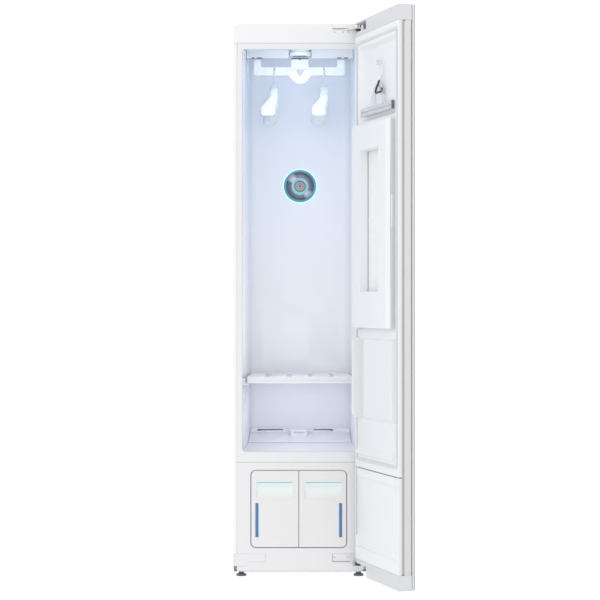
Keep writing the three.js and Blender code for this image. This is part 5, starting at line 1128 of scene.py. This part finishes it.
# Hinges: a nose block or lug on each arm, a stop beside it, and dark strips along the plates
# painted as the shadow in the gaps round them
for name, finish, slot, radius, *box in (
    ("upper_hinge_nose", CHROME, "hinge_steel", 1.6,
        (181.5, -299.2, 1814.8), (196, -288, 1824.6)),
    ("upper_hinge_lug", DARK_STEEL, "hinge_steel", 1.0,
        (199.5, -299.2, 1813), (205.5, -286, 1823.5)),
    ("upper_hinge_stop", BLACK, "black_plastic", 2.2,
        (186, -298.5, 1804.6), (203, -282, 1811.2)),
    ("lower_hinge_stop", BLACK, "black_plastic", 2.0,
        (184, -298.5, 24.7), (206, -280, 31.5)),
    ("lower_hinge_lug", DARK_STEEL, "hinge_steel", 1.5,
        (186, -299, 31.6), (197, -286, 40.5)),
    ("upper_plate_gap_shadow", HINGE_GAP_SHADE, "grey_plastic", 0.3,
        (109.5, -264.5, 1814.6), (180, -263.6, 1817.8)),
    ("lower_plate_gap_shadow", HINGE_GAP_SHADE, "grey_plastic", 0.3,
        (109, -264.6, 32.4), (166, -263.6, 35)),
    ("lower_plate_end_gap_shadow", HINGE_GAP_SHADE, "grey_plastic", 0.3,
        (107.6, -264.6, 33), (109.4, -263.6, 59)),
):
    blocks(name, finish, "cabinet", slot, radius, box)

# Door: its cap's lid over the hinge recess, the ends of its trim, and a grey strip painted as a
# shadow line along its lower liner's hinge side
blocks(
    "door_cap_lid", CAP, "door", "white_moulding", 0.9,
    ((-104.7, -18.2, 1826.6), (11.7, 23.7, 1831.8)),
)
blocks(
    "trim_end_plugs", RUBBER_AND_GAP_SHADE, "door", "black_plastic", 0.5,
    ((-433.3, 1.5, 1778.2), (-431, 7.5, 1782.4)),
    ((-433.3, 6, 49.6), (-431, 13, 52.6)),
)
blocks(
    "door_lower_shadow_line", GREY, "door", "liner", 0.7,
    ((-5.4, 24.1, 128), (-3.2, 25.6, 352)),
)

# Trouser press: the pad behind the window, and a grey skirt round the cover's free side, painted
# as the shade on that side; trouser hanger: the rubber end of its front jaw
blocks(
    "press_pad", PAD, "door", "liner", 1.8,
    ((-352, 13.2, 850), (-60, 18.9, 1450)),
)
blocks(
    "press_cover_side_shade", COVER_SIDE_SHADE, "press_cover", "liner", 0.5,
    ((-400.3, 31.0, 1241), (-399.05, 39.4, 1478)),
    ((-400.3, 31.0, 820), (-399.05, 39.4, 1133)),
    ((-400.3, 24.9, 820), (-399.05, 31.2, 1478)),
    ((-409.5, 24.7, 820), (-399.05, 26.0, 1478)),
)
blocks(
    "trouser_jaw_end", RUBBER_AND_GAP_SHADE, "trouser_jaw", "black_plastic", 1.0,
    ((-380.6, 20.2, 1510.9), (-372.5, 27.7, 1537.6)),
)


# Light, floor and camera


WHITE = (1, 1, 1)
SKY_STRENGTH = 1.05
FLOOR_HALF = 14
FLOOR_GAP = 0.0002
LENS_MM = 117.3
SENSOR_MM = 36
CAMERA_AT = (0, -6.804, 0.9085)

# Area lights: place, what they face, width and height, power, colour
LIGHTS = {
    "key_softbox": ((-2.6, -4.2, 3.4), (0, 0, 0.9), (2.6, 2.6), 9, WHITE),
    "fill_softbox": ((3.0, -4.0, 2.0), (0, 0, 0.9), (2.4, 3.0), 6, WHITE),
    "rear_softbox": ((1.5, 4.0, 3.0), (0, 0, 0.9), (3.0, 3.0), 30, WHITE),
    "cavity_glow": ((0, -0.245, 1.11), (0, 1, 1.11), (0.34, 0.88), 0.6, (0.94, 0.965, 1.0)),
    "low_glow": ((0, -0.245, 0.79), (0, 1, 0.79), (0.34, 0.2), 0.07, (0.97, 0.97, 1.0)),
    "shoulder_glow": ((0, -0.24, 1.66), (0, 1, 1.5), (0.34, 0.1), 0.12, (0.88, 0.94, 1.0)),
    "back_glow": ((0, 0.03, 1.725), (0, 0.216, 1.62), (0.36, 0.02), 0.1, (0.80, 0.87, 0.97)),
    "drive_glow": ((0, -0.235, 1.742), (0, 0, 1.752), (0.3, 0.02), 0.015, (0.9, 0.95, 1.0)),
    "floor_glow": ((0, -0.245, 0.53), (0, 1, 0.53), (0.34, 0.17), 0.2, (0.95, 0.97, 1.0)),
    "under_shelf_glow": ((0, -0.02, 0.585), (0, 0.03, 0.4), (0.32, 0.3), 0.22, (0.95, 0.96, 1.0)),
}


def area_light(name, place, facing, size, power, colour):
    """A lamp that lights but isn't seen itself."""
    light = bpy.data.lights.new(name, "AREA")
    light.shape = "RECTANGLE"
    light.size, light.size_y = size
    light.energy = power
    light.color = colour
    lamp = bpy.data.objects.new(name, light)
    lamp.location = place
    lamp.visible_camera = False
    lamp.rotation_euler = (Vector(facing) - Vector(place)).to_track_quat("-Z", "Y").to_euler()
    bpy.context.scene.collection.objects.link(lamp)


def studio_floor():
    """A plain pale floor just under the feet."""
    mesh = bpy.data.meshes.new("floor")
    ground = bmesh.new()
    bmesh.ops.create_grid(ground, x_segments=2, y_segments=2, size=FLOOR_HALF)
    bmesh.ops.translate(ground, verts=ground.verts, vec=(0, 0, FLOOR_Z - FLOOR_GAP))
    ground.to_mesh(mesh)
    ground.free()
    floor = bpy.data.objects.new("floor", mesh)
    bpy.context.scene.collection.objects.link(floor)
    f = Finish("floor_white")
    paper = f.surface(
        Base_Color=f.tint((0.12, 0.12, 0.12), 0.02, 0.6),
        Roughness=0.9 + f.noise(3, 2) * 0.05,
        Emission_Color=WHITE,
        Emission_Strength=0.9,
    )
    dress(floor, paper)


def studio():
    world = bpy.data.worlds.new("studio_white")
    bpy.context.scene.world = world
    world.use_nodes = True
    sky = world.node_tree.nodes["Background"]
    sky.inputs["Color"].default_value = (*WHITE, 1)
    sky.inputs["Strength"].default_value = SKY_STRENGTH
    for name, settings in LIGHTS.items():
        area_light(name, *settings)
    studio_floor()


def camera():
    """A long lens far in front, level, at the middle of the cabinet's height."""
    data = bpy.data.cameras.new("camera")
    data.lens = LENS_MM
    data.sensor_width = SENSOR_MM
    eye = bpy.data.objects.new("camera", data)
    eye.location = CAMERA_AT
    eye.rotation_euler = (math.pi / 2, 0, 0)
    bpy.context.scene.collection.objects.link(eye)
    bpy.context.scene.camera = eye


studio()
camera()
bpy.context.scene.view_settings.view_transform = "Standard"
